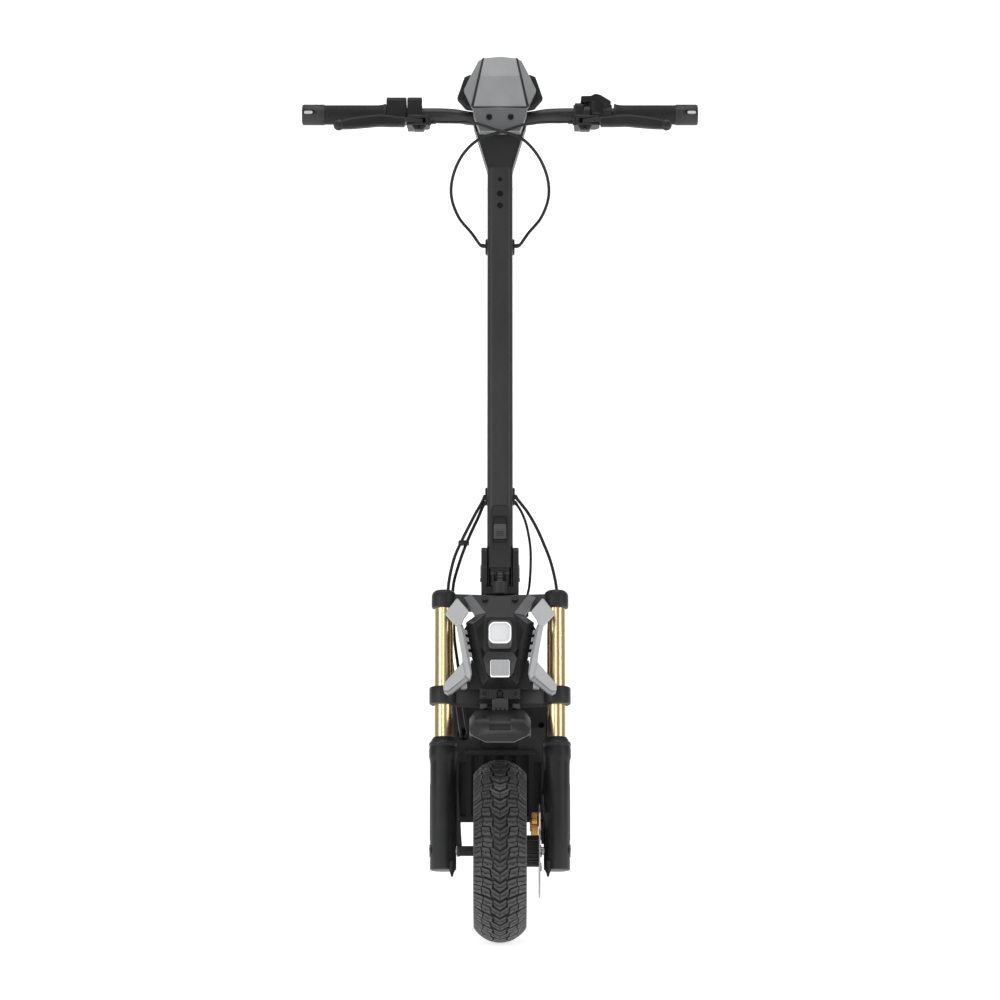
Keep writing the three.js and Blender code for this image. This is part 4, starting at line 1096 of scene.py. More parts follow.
        comb += tooth[: 4 if i < 3 else 2]
    dress(prism("cable_comb", face(comb, -24), "y", -25.4, -20), DARK_GREY, body, bevel=0.5)
    for i in range(3):
        x = 8.2 - i * 8.2
        dress(prism(f"cable_comb_rib_{i + 1}", face([(x - 1.1, 359), (x + 1.1, 359), (x + 1.1, 348), (x - 1.1, 348)],
                                                    -25), "y", -26.6, -25), DARK_GREY, body, bevel=0.4)


def blades():
    body = "steering"
    for side, tag in ((-1, "left"), (1, "right")):
        def piece(name, outline, t0, t1, mat, bevel=1.0, node=()):
            points = [(side * x, s) for x, s in face(outline, t0)]
            dress(prism(name, points, "y", t0, t1), mat, body, bevel=bevel, segments=3, replaces=node)

        piece(f"blade_upper_{tag}", [(62.9, 510.4), (65.4, 509.6), (81.3, 489.4), (81.0, 486.6), (65.6, 469.6),
                                     (57, 471.5), (54, 480), (46.6, 490), (47.6, 492.6)], -49.5, -41, SILVER, 1.3,
              (f"blade_{tag}",))
        piece(f"blade_strut_{tag}", [(65.4, 472), (58.4, 474), (48, 422), (43, 397.7), (45.4, 389.6), (54.2, 397),
                                     (55.8, 412), (57.5, 430)], -47, -34, SILVER, 1.2)
        piece(f"blade_strut_edge_{tag}", [(58.6, 473), (54.8, 470), (44.8, 421), (41.7, 398.6), (44.6, 388.6),
                                          (47.4, 392), (45.8, 399.6), (50, 421)], -44.6, -30, HOOD, 0.8)
        piece(f"blade_lower_{tag}", [(55.6, 416.4), (51.6, 398), (52.4, 393.4), (76.4, 373.6), (83.9, 374.6),
                                     (84.3, 383.4)], -49.5, -38, SILVER, 1.3)
        piece(f"blade_lower_bevel_{tag}", [(52.6, 393.4), (45.2, 390.2), (71.8, 369.6), (77.6, 367.6), (83.4, 371.4),
                                           (82.8, 374.4), (76.4, 373.2)], -48.6, -37, HOOD, 1.6)
        piece(f"blade_root_{tag}", [(58.6, 384.4), (49.6, 386.4), (49, 377), (58.4, 376)], -30, -16, SILVER, 0.8)
        piece(f"blade_top_root_{tag}", [(60, 500), (52, 494), (54, 488), (62, 494)], -41.5, -18, BLACK, 0.8)
        for i, z in enumerate((460, 449, 438, 427)):
            x = 51.6 - i * 2.3
            piece(f"blade_tooth_{tag}_{i + 1}", [(x + 1.6, z + 3.6), (x - 2.2, z + 3.0), (x - 3.4, z - 3.4),
                                                 (x + 0.6, z - 3.0)], -40, -33, HOOD, 0.5)


def fender():
    body = "steering"

    def ring(y, half, drop=0.0):
        return [(x, y, z - drop) for x, z in both(half)]

    outer = [
        (-66.0, [(18.5, 302.4), (37, 309.6), (38, 315), (31, 322), (18, 324)]),
        (-63.5, [(20.2, 300.6), (42.6, 311.2), (43.8, 317), (35, 328), (19.6, 330)]),
        (-58, [(20.6, 300.2), (43.6, 311), (45.2, 321), (36.4, 333.6), (20.4, 335)]),
        (-36, [(22, 300), (45.4, 307), (45.5, 326), (36, 338), (21.6, 340)]),
        (-4, [(24, 300), (45.5, 303), (45.5, 330), (36, 343.4), (24, 344)]),
        (40, [(24, 300), (45.5, 303), (45.5, 330), (36, 343.4), (24, 344)]),
        (78, [(24, 300), (45.5, 302), (45.5, 318), (37, 329), (26, 330)]),
        (104, [(24, 299.6), (45.5, 299.8), (45.5, 301), (40, 303), (26, 303.4)]),
    ]
    shell = loft("front_fender_shell", [ring(y, half) for y, half in outer], axes=DECK)
    inner = [(-60, [(17, 290), (38, 290), (38.6, 312), (32, 320), (17, 321)]),
             (-54, [(18, 290), (41, 290), (42, 318), (34, 330), (18, 331)]),
             (-4, [(22, 290), (42.5, 290), (42.5, 328), (34, 340), (22, 341)]),
             (40, [(22, 290), (42.5, 290), (42.5, 328), (34, 340), (22, 341)]),
             (78, [(22, 290), (42.5, 290), (42.5, 316), (35, 326), (22, 327)]),
             (110, [(22, 286), (42.5, 286), (42.5, 294), (35, 295), (22, 295)])]
    carve(shell, loft("hollow", [ring(y, half) for y, half in inner], axes=DECK))
    # A shallow panel that follows the nose.
    sink = [(-90, 318.6), (-64.2, 318.6), (-64.0, 323.2), (-61.6, 328.4), (-56.6, 332.8), (-40, 336.8), (-34, 341),
            (-34, 360), (-90, 360)]
    carve(shell, prism("recess", sink, "x", -15.6, 15.6, axes=DECK))
    dress(shell, MASK_BLACK, body, bevel=1.3, angle=32, segments=3, replaces=("front_fender",))
    for side, tag in ((-1, "left"), (1, "right")):
        y0 = -64.6
        outline = [(side * 20.2, 300.4), (side * 42.7, 311.0), (side * 43.6, 313.6), (side * 20.4, 303.6)]
        dress(prism(f"fender_lip_{tag}", outline, "y", y0, y0 + 3.4, axes=DECK), ACCENT, body, bevel=0.7)
    dress(prism("fender_lip_middle", [(-20.2, 300.4), (20.2, 300.4), (20.4, 303.2), (-20.4, 303.2)], "y", -66.0, -62.4,
                axes=DECK), DARK_GREY, body, bevel=0.7)
    for side, tag in ((-1, "left"), (1, "right")):
        screw(f"fender_screw_{tag}", (side * 30, 20, 343.2), (0, 0, 1), 3.2, body, DECK)


# ------------------------------------------------------------------ folding joint and stem
PIVOT_T, PIVOT_S = 49.2, 432.2


def fold_base():
    body = "steering"
    side = [(2, 388.3), (66, 388.3), (76, 420)] + arc(PIVOT_T, PIVOT_S, 29.8, 0, 90, 12) + [(16, 462)] + \
        arc(12, 452, 10, 90, 180, 6)[1:]
    base = prism("fold_cheeks", side, "x", -28.4, 28.4)
    carve(base,
          block("slot", (-15.25, 15.25), (-10, 100), (404, 480)),
          rod("bore", 5.3, -40, 40, "x", (0, PIVOT_T, PIVOT_S)),
          block("front_relief", (-19.2, 19.2), (-6, 12.5), (400, 480)))
    dress(base, BLACK, body, bevel=2.6, angle=35, segments=4, replaces=("fold_base",))
    boss = [(0, 388.3), (12.5, 388.3), (12.5, 405), (11.4, 406.8), (8.6, 407), (8.2, 405.4), (0, 405.4)]
    dress(turned("latch_boss", boss, "z", (0, 0, 0), sides=48), BLACK, body, bevel=0)
    for side_x, tag in ((-1, "left"), (1, "right")):
        out = side_x * 28.4
        centre = (out, PIVOT_T, PIVOT_S)
        profile = [(0, 0), (10.5, 0), (10.5, side_x * 1.1), (9.4, side_x * 1.7), (5.2, side_x * 1.7),
                   (5.2, side_x * 0.6), (0, side_x * 0.6)]
        dress(turned(f"fold_pin_cap_{tag}", profile, "x", centre, sides=48), STEEL, body, bevel=0,
              replaces=("fold_pin",) if side_x > 0 else ())
        line = prism(f"cheek_trim_{tag}", [(side_x * 20.4, 431), (side_x * 27.2, 431), (side_x * 27.2, 430),
                                           (side_x * 20.4, 430)], "y", 1.55, 2.6)
        dress(line, PLASTIC, body, bevel=0)
        screw(f"cheek_screw_{tag}", (out, 22, 414), (side_x, 0, 0), 3.2, body)
    dress(rod("fold_pin_shaft", 5, -27, 27, "x", (0, PIVOT_T, PIVOT_S)), STEEL, body, bevel=0)
    # Catch under the stem plate: twin knuckles with their ears and washers, and a ribbed hook.
    for side_x, tag in ((-1, "left"), (1, "right")):
        ends = sorted((side_x * 8.2, side_x * 14.6))
        dress(rod(f"catch_knuckle_{tag}", 4.6, *ends, "x", (0, 9.5, 421.5), chamfer=0.8), BLACK, body, bevel=0)
        dress(block(f"catch_ear_{tag}", sorted((side_x * 9.4, side_x * 12.6)), (7, 14), (407, 421)), BLACK, body,
              bevel=0.7)
        dress(rod(f"catch_washer_{tag}", 3.2, *sorted((side_x * 6.0, side_x * 8.2)), "x", (0, 9.5, 421.5)), PLASTIC,
              body, bevel=0)
        dress(rod(f"fold_thrust_washer_{tag}", 22, *sorted((side_x * 14.8, side_x * 15.3)), "x",
                  (0, PIVOT_T, PIVOT_S)), PLASTIC, body, bevel=0)
    dress(prism("catch_hook", [(3.4, 424), (8.6, 426.5), (13, 424), (13, 410), (9.4, 405.5), (5.2, 406.5), (4.6, 413)],
                "x", -4.4, 4.4), BLACK, body, bevel=0.8)
    for i in range(3):
        s = 410.4 + i * 4.2
        dress(block(f"catch_rib_{i + 1}", (-3.6, 3.6), (2.6, 4.8), (s, s + 1.8)), DARK_GREY, body, bevel=0.4)


def stem():
    body = "stem"
    section = rounded(39, 42.5, 9.5, 0, 28.25, steps=10)
    tube = prism("stem_tube_wall", section, "z", 463, 1058.2)
    arch = [(-14.2, 508)] + [(14.2, 508)] + arc(6.2, 519, 8, 0, 90, 8) + arc(-6.2, 519, 8, 90, 180, 8)
    carve(tube, prism("arch", arch, "y", 0, 9.6),
          block("bore", (-15, 15), (11.5, 45), (520, 1100)),
          rod("port_screw", 3.4, 0, 9, "y", (0, 0, 1040), sides=32),
          rod("head_screw_1", 4.6, 0, 10, "y", (0, 0, 1017), sides=32),
          rod("head_screw_2", 4.6, 0, 10, "y", (0, 0, 998), sides=32))
    dress(tube, BLACK_TUBE, body, bevel=0.5, angle=40, replaces=("stem_tube",))
    screw("stem_screw_top", (0, 9.2, 1040), (0, -1, 0), 2.9, body, height=1.4)
    screw("stem_screw_mid", (0, 9.9, 1017), (0, -1, 0), 3.9, body, height=1.8)
    screw("stem_screw_low", (0, 9.9, 998), (0, -1, 0), 3.9, body, height=1.8)
    seam = prism("stem_collar_seam", rounded(39.3, 42.8, 9.6, 0, 28.25, steps=10), "z", 1027.6, 1028.4)
    dress(seam, PLASTIC, body, bevel=0, angle=60)
    seam = prism("stem_foot_seam", rounded(39.5, 43.0, 9.6, 0, 28.25, steps=10), "z", 463, 466.4)
    dress(seam, BLACK, body, bevel=0.8, angle=60)
    # Front plate with the slider's pocket, and the tongue that turns on the fold pin.
    plate = prism("stem_front_plate", [(-16.3, 429.8), (16.3, 429.8), (16.3, 509.6), (-16.3, 509.6)], "y", 3.6, 12)
    pocket = [(x, s) for x, s in rounded(21.6, 41, 2.6, 0, 488)]
    carve(plate, prism("pocket", pocket, "y", 0, 6.9))
    dress(plate, BLACK, body, bevel=0.8, segments=3)
    foot = [(14, 409), (50, 409)] + arc(PIVOT_T, PIVOT_S, 18, -55, 0, 8) + [(PIVOT_T + 17, 455), (48, 466), (8, 466),
                                                                         (8, 430)]
    tongue = prism("stem_tongue", hull(foot), "x", -14.9, 14.9)
    carve(tongue, rod("bore", 5.3, -40, 40, "x", (0, PIVOT_T, PIVOT_S)))
    dress(tongue, BLACK, body, bevel=1.2, segments=3)
    for low, high, tag in ((531, 557, "lower"), (925, 948.5, "upper")):
        for side in (-1, 1):
            name = f"hose_port_{tag}_{'right' if side > 0 else 'left'}"
            mid = (low + high) / 2
            gland = []
            for x, shrink in ((18.6, 0), (21.4, 0), (22.6, 1.6)):
                gland.append([(side * x, t, s) for t, s in rounded(19 - 2 * shrink, high - low - 2 * shrink,
                                                                  5.5 - shrink, 26.5, mid)])
            dress(loft(name, gland), PLASTIC, body, bevel=0.4)
    # Slider: a body with a thumb ledge and a plain raised bar.
    body = "fold_slider"
    key = prism("fold_slider_key", rounded(19.6, 22, 2.2, 0, 485), "y", 2.4, 6.6)
    dress(key, DARK_GREY, body, bevel=0.7, segments=3, replaces=("fold_slider",))
    ledge_outline = [(6.2, 497.6), (6.2, 489.4), (2.6, 489.8), (1.5, 491.6), (2.6, 496.8)]
    ledge = prism("fold_slider_ledge", ledge_outline, "x", -8.8, 8.8)
    dress(ledge, DARK_GREY, body, bevel=0.6)
    for i in range(3):
        dress(block(f"fold_slider_grip_{i + 1}", (-5.6, 5.6), (1.9, 2.8), (478 + i * 3.0, 479.1 + i * 3.0)), PLASTIC,
              body, bevel=0.2)


def stem_head():
    body = "stem"
    half = [(19.5, 1058.2), (21, 1064), (40.5, 1130), (41.5, 1136), (40.6, 1141), (34, 1144)]
    inset = [(x - 3.2, s) for x, s in half]

    def ring(points, t):
        return [(x, t, s) for x, s in both(points)]

    yoke = loft("stem_head_yoke", [ring(inset, 7), ring(half, 10.4), ring(half, 46), ring(inset, 49.5)])
    ahead = block("ahead", (-60, 60), (-5, 15.5), (1118, 1200))
    bore = rod("bore", 11.4, -60, 60, "x", (0, *BAR_MID), sides=64)
    carve(yoke, ahead, bore)
    for side in (-1, 1):
        carve(yoke, rod("hole", 3.6, 0, 14, "y", (side * 21.6, 0, 1090), sides=32))
    dress(yoke, BLACK, body, bevel=1.1, angle=24, segments=3, replaces=("stem_head",))
    for side, tag in ((-1, "left"), (1, "right")):
        screw(f"stem_head_screw_{tag}", (side * 21.6, 13.8, 1090), (0, -1, 0), 3.1, body, height=1.6)
    cap = prism("bar_clamp_cap", [(12, 1146), (48, 1146), (52, 1152), (50, 1158), (10, 1158), (9, 1152)], "x", -26, 26)
    carve(cap, rod("bore", 11.4, -60, 60, "x", (0, *BAR_MID), sides=64))
    dress(cap, BLACK, body, bevel=1.0)
    for sx in (-1, 1):
        for k, t in enumerate((14, 46)):
            screw(f"bar_clamp_bolt_{sx + 2}_{k + 1}", (sx * 19, t, 1157.6), (0, 0, 1), 3.0, body)
    # Faceted arrow panel on the front of the yoke.
    panel = face([(-17.5, 1175), (17.5, 1175), (30.5, 1219), (-30.5, 1219)], 7)
    dress(prism("stem_head_panel", panel, "y", 6.6, 7.6), PLASTIC, body, bevel=0.4)


def display():
    body = "stem"
    shield = [(30, 1150), (53.2, 1154.8), (65.6, 1169), (66.3, 1172.5), (55, 1205.8), (47.6, 1209), (30, 1212)]
    lower = [(x - 3.5 if x > 40 else x, s + (2.5 if s < 1160 else -2.5 if s > 1200 else 0)) for x, s in shield]
    rings = [[(x, t, s) for x, s in both(points)] for points, t in ((lower, 6.9), (shield, 9.8), (shield, 18.7))]
    back = loft("display_shield", rings)
    carve(back, block("clamp_gap", (-27, 27), (13, 70), (1130, 1159)))
    dress(back, PLASTIC, body, bevel=0.9, segments=3, replaces=("display_body",))
    tilt = [[(-50, 18.7, 1163.4), (50, 18.7, 1163.4), (46, 18.7, 1207), (-46, 18.7, 1207)],
            [(-50, 44, 1163.4), (50, 44, 1163.4), (46, 30, 1207), (-46, 30, 1207)],
            [(-47, 49.4, 1165.4), (47, 49.4, 1165.4), (43.6, 33.4, 1205.4), (-43.6, 33.4, 1205.4)]]
    dress(loft("display_case", tilt), PLASTIC, body, bevel=1.4, segments=3)
    slope = (48.9 - 33.9) / (1204.4 - 1166.4)

    def on_screen(x, s, lift):
        return (x, 49.0 - (s - 1166.0) * slope + lift, s + lift * slope)

    glass = [[on_screen(x, s, lift) for x, s in ((-43.4, 1176), (43.4, 1176), (41, 1202.6), (-41, 1202.6))]
             for lift in (-1.0, 0.9)]
    dress(loft("display_glass", glass), SCREEN, body, bevel=0.5)
    for i, x in enumerate((-20, 0, 20)):
        key = [[on_screen(x + dx, 1170.6 + ds, lift) for dx, ds in rounded(13 - shrink, 5.6 - shrink, 2.4)]
               for lift, shrink in ((-0.8, 0), (1.0, 0), (1.7, 1.4))]
        dress(loft(f"display_key_{i + 1}", key), GRIP, body, bevel=0)
    points = {
        "top_mid": (0, 1343.2, -9.5), "top_in": (25.6, 1340.6, -8.5), "top_out": (33.4, 1337, -3),
        "brow_mid": (0, 1311.5, -15.8), "brow_in": (32.2, 1311.5, -14.8), "brow_out": (46.4, 1311.5, -5),
        "wing": (56, 1291.5, 1), "cheek": (54.6, 1286, 0.4),
        "belt_mid": (0, 1262.6, -14.4), "belt_in": (42.4, 1262.6, -12.4), "belt_out": (45.6, 1268, -6),
        "jaw": (40.4, 1250, -10.6), "foot": (31.6, 1224.6, -10), "foot_mid": (0, 1224.6, -11.2),
    }
    faces = [("top_mid", "top_in", "brow_in", "brow_mid"), ("top_in", "top_out", "brow_out", "brow_in"),
             ("brow_mid", "brow_in", "belt_in", "belt_mid"),
             ("brow_in", "brow_out", "wing", "cheek", "belt_out", "belt_in"),
             ("belt_mid", "belt_in", "jaw", "foot", "foot_mid")]
    dress(facets("display_hood_shell", points, faces, 6), HOOD, body, bevel=0.9, angle=5, segments=3,
          replaces=("display_hood",))

    def overlay(name, corners, lift, depth, mat, bevel=0.3):
        loop = [(x, t, up(z, t)) for x, z, t in corners]
        front = [(x, t - lift, s) for x, t, s in loop]
        behind = [(x, t + depth, s) for x, t, s in loop]
        dress(loft(name, [behind, front]), mat, body, bevel=bevel)

    # Painted shade: the chin is laid over in a darker grey than the hood because it faces down.
    overlay("display_hood_chin", [(-41.2, 1261.0, -13), (41.2, 1261.0, -13), (39.6, 1250, -11.2), (31.0, 1225.4, -10.4),
                                  (-31.0, 1225.4, -10.4), (-39.6, 1250, -11.2)], 1.6, 2, HOOD_CHIN_SHADE, 0.8)
    # Painted shade: thin black strips laid on the hood stand for the shade in its grooves, which are not cut.
    overlay("display_hood_belt", [(-42.6, 1263.4, -12.6), (42.6, 1263.4, -12.6), (42.2, 1261.6, -12.6),
                                  (-42.2, 1261.6, -12.6)], 2.0, 2, PLASTIC, 0.2)
    for side, tag in ((-1, "left"), (1, "right")):
        def line(x, z, t):
            return (side * x, z, t)

        groove = [line(24.6, 1341.4, -9), line(27.4, 1340.6, -8), line(34.0, 1311.4, -14.2), line(30.6, 1311.4, -15)]
        overlay(f"display_hood_groove_upper_{tag}", groove, 0.5, 2, PLASTIC, 0.2)
        groove = [line(30.6, 1311.6, -15), line(34.0, 1311.6, -14.2), line(44.6, 1265, -11.6), line(41.0, 1263, -12.6)]
        overlay(f"display_hood_groove_lower_{tag}", groove, 0.6, 2, PLASTIC, 0.2)
        seat = rod(f"hood_screw_seat_{tag}", 4.6, -14.4, -12, "y", (side * 16.6, 0, up(1247, -13)), sides=32)
        dress(seat, BOLT, body, bevel=0)
        screw(f"hood_screw_{tag}", (side * 16.6, -13.6, up(1247, -13)), (0, -1, 0), 3.6, body, height=1.6)
        # Inner cheek between the hood and the shield.
        cheek = face([(44, 1266), (55.4, 1288), (52, 1290), (42, 1262)], 2)
        dress(prism(f"display_cheek_{tag}", [(side * x, s) for x, s in cheek], "y", 1, 7.4), HOOD, body, bevel=0.6)


# ------------------------------------------------------------------ handlebar and controls
def on_bar(side, points):
    """Turned profiles on the straight bar ends: (radius, distance from the middle)."""
    return [(r, side * x) for r, x in points]


def handlebar():
    body = "stem"
    stops = [(0, *BAR_MID), (30, *BAR_MID), (46, *BAR_MID), (72, 36, 1151), (96, 39.8, 1153.4), (130, *BAR_END),
             (200, *BAR_END), (289, *BAR_END)]
    half = smooth_path(stops, 8)
    path = [Vector((-p.x, p.y, p.z)) for p in half[:0:-1]] + half
    dress(swept("handlebar_tube", path, 10.75, sides=48), BLACK_TUBE, body, bevel=0, angle=60, replaces=("handlebar",))
    centre = (0, *BAR_END)
    for side, tag in ((-1, "left"), (1, "right")):
        # Grip: a smooth flared inner end, then a diamond knurl cut into the outer two thirds.
        rings = []
        steps, sides = 150, 132
        for i in range(steps + 1):
            x = 177.2 + (272 - 177.2) * i / steps
            flare = 1.6 * math.exp(-((x - 177.2) / 7.0) ** 2)
            radius = 15.2 + flare
            edge = min(1.0, max(0.0, (x - 203) / 6)) * min(1.0, max(0.0, (270 - x) / 2))
            ring = []
            for k in range(sides):
                angle = 2 * math.pi * k / sides
                a = math.sin(x * 0.42 + 6 * angle)
                b = math.sin(x * 0.42 - 6 * angle)
                groove = max(0.0, 1 - 4.5 * min(abs(a), abs(b)))
                r = radius - 0.75 * edge * groove
                ring.append((side * x, BAR_END[0] + r * math.cos(angle), BAR_END[1] + r * math.sin(angle)))
            rings.append(ring)
        dress(loft(f"grip_rubber_{tag}", rings), GRIP, body, bevel=0, angle=70, replaces=(f"grip_{tag}",))
        collar = on_bar(side, [(11, 176.9), (17.0, 176.9), (17.2, 178), (17.0, 180.4), (15.4, 181.4), (11, 181.4)])
        dress(turned(f"grip_collar_{tag}", collar, "x", centre, closed=True, sides=64), PLASTIC, body, bevel=0)
        cap = on_bar(side, [(0, 272.4), (15.9, 272.4), (16.3, 273.2), (16.3, 304.6), (15.6, 306.6), (13.8, 307.5),
                            (6, 307.5), (5.2, 306.2), (0, 306.2)])
        end = turned(f"bar_end_cap_{tag}", cap, "x", centre, sides=72)
        low, high = sorted((side * 289.5, side * 312))
        t0, s0 = BAR_END
        window = block("window", (low, high), (t0 - 20, t0 - 12.4), (s0 - 3.7, s0 + 3.7))
        tip = rod("tip", 3.7, t0 - 20, t0 - 12.4, "y", (side * 289.5, 0, s0), sides=32)
        carve(end, window, tip)
        dress(end, PLASTIC, body, bevel=0.5, angle=35, replaces=(f"bar_end_{tag}",))
        lens = prism(f"bar_end_light_{tag}", rounded(13.4, 5.2, 2.5, side * 297.4, s0), "y", t0 - 14.6, t0 - 12.2)
        dress(lens, LED, body, bevel=0.7, segments=3)
        for x in (275.6,):
            rim = on_bar(side, [(15.9, x), (16.6, x + 0.3), (16.6, x + 0.8), (15.9, x + 1.1)])
            dress(turned(f"bar_end_ring_{tag}", rim, "x", centre, closed=True, sides=72), PLASTIC, body, bevel=0)


def brake_clamp(side):
    body = "stem"
    tag = "right" if side > 0 else "left"
    shift = 8 if side > 0 else 0
    perch = (114, 154) if side > 0 else (108, 144)
    ring = (114, 140.5) if side > 0 else (121, 144)
    flat = [(x, t) for x, t in ((perch[0], 0), (perch[0] + 4, -4), (perch[1] - 2, -4), (perch[1], -1), (perch[1], 16),
                                (perch[1] - 6, 23.6), (perch[0] + 3, 23.6), (perch[0], 18))]
    body_piece = prism(f"brake_perch_{tag}", [(side * x, t) for x, t in flat], "z", 1124, 1139.5)
    low, high = sorted((side * (115 + shift), side * (160 + shift)))
    carve(body_piece, block("slot", (low, high), (-6, 18), (1127.5, 1135.5)))
    dress(body_piece, BLACK, body, bevel=1.3, segments=3, replaces=(f"brake_clamp_{tag}",))
    low, high = sorted((side * ring[0], side * ring[1]))
    neck = block(f"brake_perch_neck_{tag}", (low + 1, high - 1), (16, 36), (1125, 1147))
    carve(neck, rod("bore", 11.0, -400, 400, "x", (0, *BAR_END)))
    dress(neck, BLACK, body, bevel=1.0)
    centre = (0, *BAR_END)
    band = [(11, ring[0]), (15, ring[0]), (16, ring[0] + 1), (16, ring[1] - 1), (15, ring[1]), (11, ring[1])]
    dress(turned(f"brake_band_{tag}", on_bar(side, band), "x", centre, closed=True, sides=64), BLACK, body, bevel=0)
    top = (116, 130.6) if side > 0 else (121, 144)
    height = 1169.8 if side > 0 else 1179
    low, high = sorted((side * top[0], side * top[1]))
    saddle = prism(f"brake_saddle_{tag}", [(24, 1144), (30, 1139), (50, 1139), (55, 1146), (55, height - 6),
                                           (49, height), (29, height), (24, height - 5)], "x", low, high)
    carve(saddle, rod("bore", 11.0, -400, 400, "x", (0, *BAR_END)))
    dress(saddle, PLASTIC, body, bevel=1.6, segments=3)
    # Nub under the perch with the cable's anchor, the barrel adjuster and the clamp screws.
    a, b = sorted((side * (perch[0] + 6), side * (perch[0] + 28)))
    nub = prism(f"brake_nub_{tag}", [(a, 1124.5), (b, 1124.5), (b - 4, 1117.4), (a + 4, 1117.4)], "y", 0, 14)
    dress(nub, BLACK, body, bevel=1.1)
    dress(rod(f"brake_nub_plug_{tag}", 2.6, -1.6, 0.6, "y", ((a + b) / 2, 0, 1121), sides=24, chamfer=0.5), BOLT, body,
          bevel=0)
    barrel = [(0, perch[0] - 9), (2.9, perch[0] - 9), (3.4, perch[0] - 7.8), (3.4, perch[0] - 2), (5.4, perch[0] - 1.4),
              (5.4, perch[0] + 2), (0, perch[0] + 2)]
    dress(turned(f"brake_barrel_{tag}", [(r, side * x) for r, x in barrel], "x", (0, 9.6, 1132.9), sides=28), BLACK,
          body, bevel=0)
    for i, x in enumerate((ring[0] + 5, ring[1] - 5)):
        screw(f"brake_clamp_screw_{tag}_{i + 1}", (side * x, 55.2 if side < 0 else 54, 1166), (0, 1, 0), 2.4, body)
    pin_x = side * (136 if side > 0 else 128)
    screw(f"lever_pivot_{tag}", (pin_x, 6, 1138.9), (0, 0, 1), 4.2, body, mat=STEEL)


def brake_lever(side):
    tag = "right" if side > 0 else "left"
    body = f"brake_lever_{tag}"
    shift = 8 if side > 0 else 0
    tongue = [(119, 0), (121, 12), (128, 15), (136, 14), (151, 4.5), (151, -9), (138, -7), (128, -3.5)]
    dress(prism(f"lever_tongue_{tag}", [(side * (x + shift), t) for x, t in tongue], "z", 1127.8, 1135.2), BLACK, body,
          bevel=0.8, replaces=(f"brake_lever_{tag}",))
    stations = [(147, -9, 5.4, 1121.6, 1137.0), (158, -10.6, 3.2, 1121.0, 1137.0), (163, -11.6, 2.0, 1120.6, 1137.6),
                (172, -13.4, 0.4, 1120.2, 1138.2), (185, -16.2, -3.0, 1119.6, 1138.2), (200, -18.6, -6.2, 1117.4, 1136.4),
                (215, -21.4, -8.8, 1115.2, 1133.6), (230, -24.2, -12, 1113, 1130.4), (243, -26.0, -14.4, 1112, 1126.6)]
    rings = []
    for x, t0, t1, s0, s1 in smooth_stations(stations, 4):
        h = s1 - s0
        c = 2.6
        outline = [(t0 + c * 0.8, s0), (t1 - c, s0), (t1, s0 + c), (t1, s1 - c), (t1 - c, s1), (t0 + c * 1.6, s1),
                   (t0, s1 - c * 1.5), (t0 - 0.2, (s0 + s1) / 2 + h * 0.1), (t0, s0 + c)]
        rings.append([(side * (x + shift), t, s) for t, s in outline])
    dress(loft(f"lever_blade_{tag}", rings), BLACK, body, bevel=0.5, angle=25)
    ball = []
    for i in range(19):
        angle = math.pi * i / 18
        ball.append((8.3 * math.sin(angle), -8.3 * math.cos(angle) * 0.98))
    dress(turned(f"lever_ball_{tag}", ball, "y", (side * (248 + shift), -20.5, 1118), sides=48), BLACK, body, bevel=0)
    dress(turned(f"lever_ball_dimple_{tag}", [(4.4, 0), (5.4, -0.5), (6.2, -0.2), (6.4, 0.6), (4.4, 0.8)], "y",
                 (side * (248 + shift), -26.2, 1118), sides=40, closed=True), BLACK, body, bevel=0)


def smooth_stations(rows, per_span):
    padded = [rows[0], *rows, rows[-1]]
    out = []
    for a, b, c, d in zip(padded, padded[1:], padded[2:], padded[3:]):
        for i in range(per_span):
            u = i / per_span
            out.append(tuple(0.5 * ((2 * q) + (r - p) * u + (2 * p - 5 * q + 4 * r - z) * u * u
                                    + (3 * q - p - 3 * r + z) * u ** 3) for p, q, r, z in zip(a, b, c, d)))
    out.append(rows[-1])
    return out


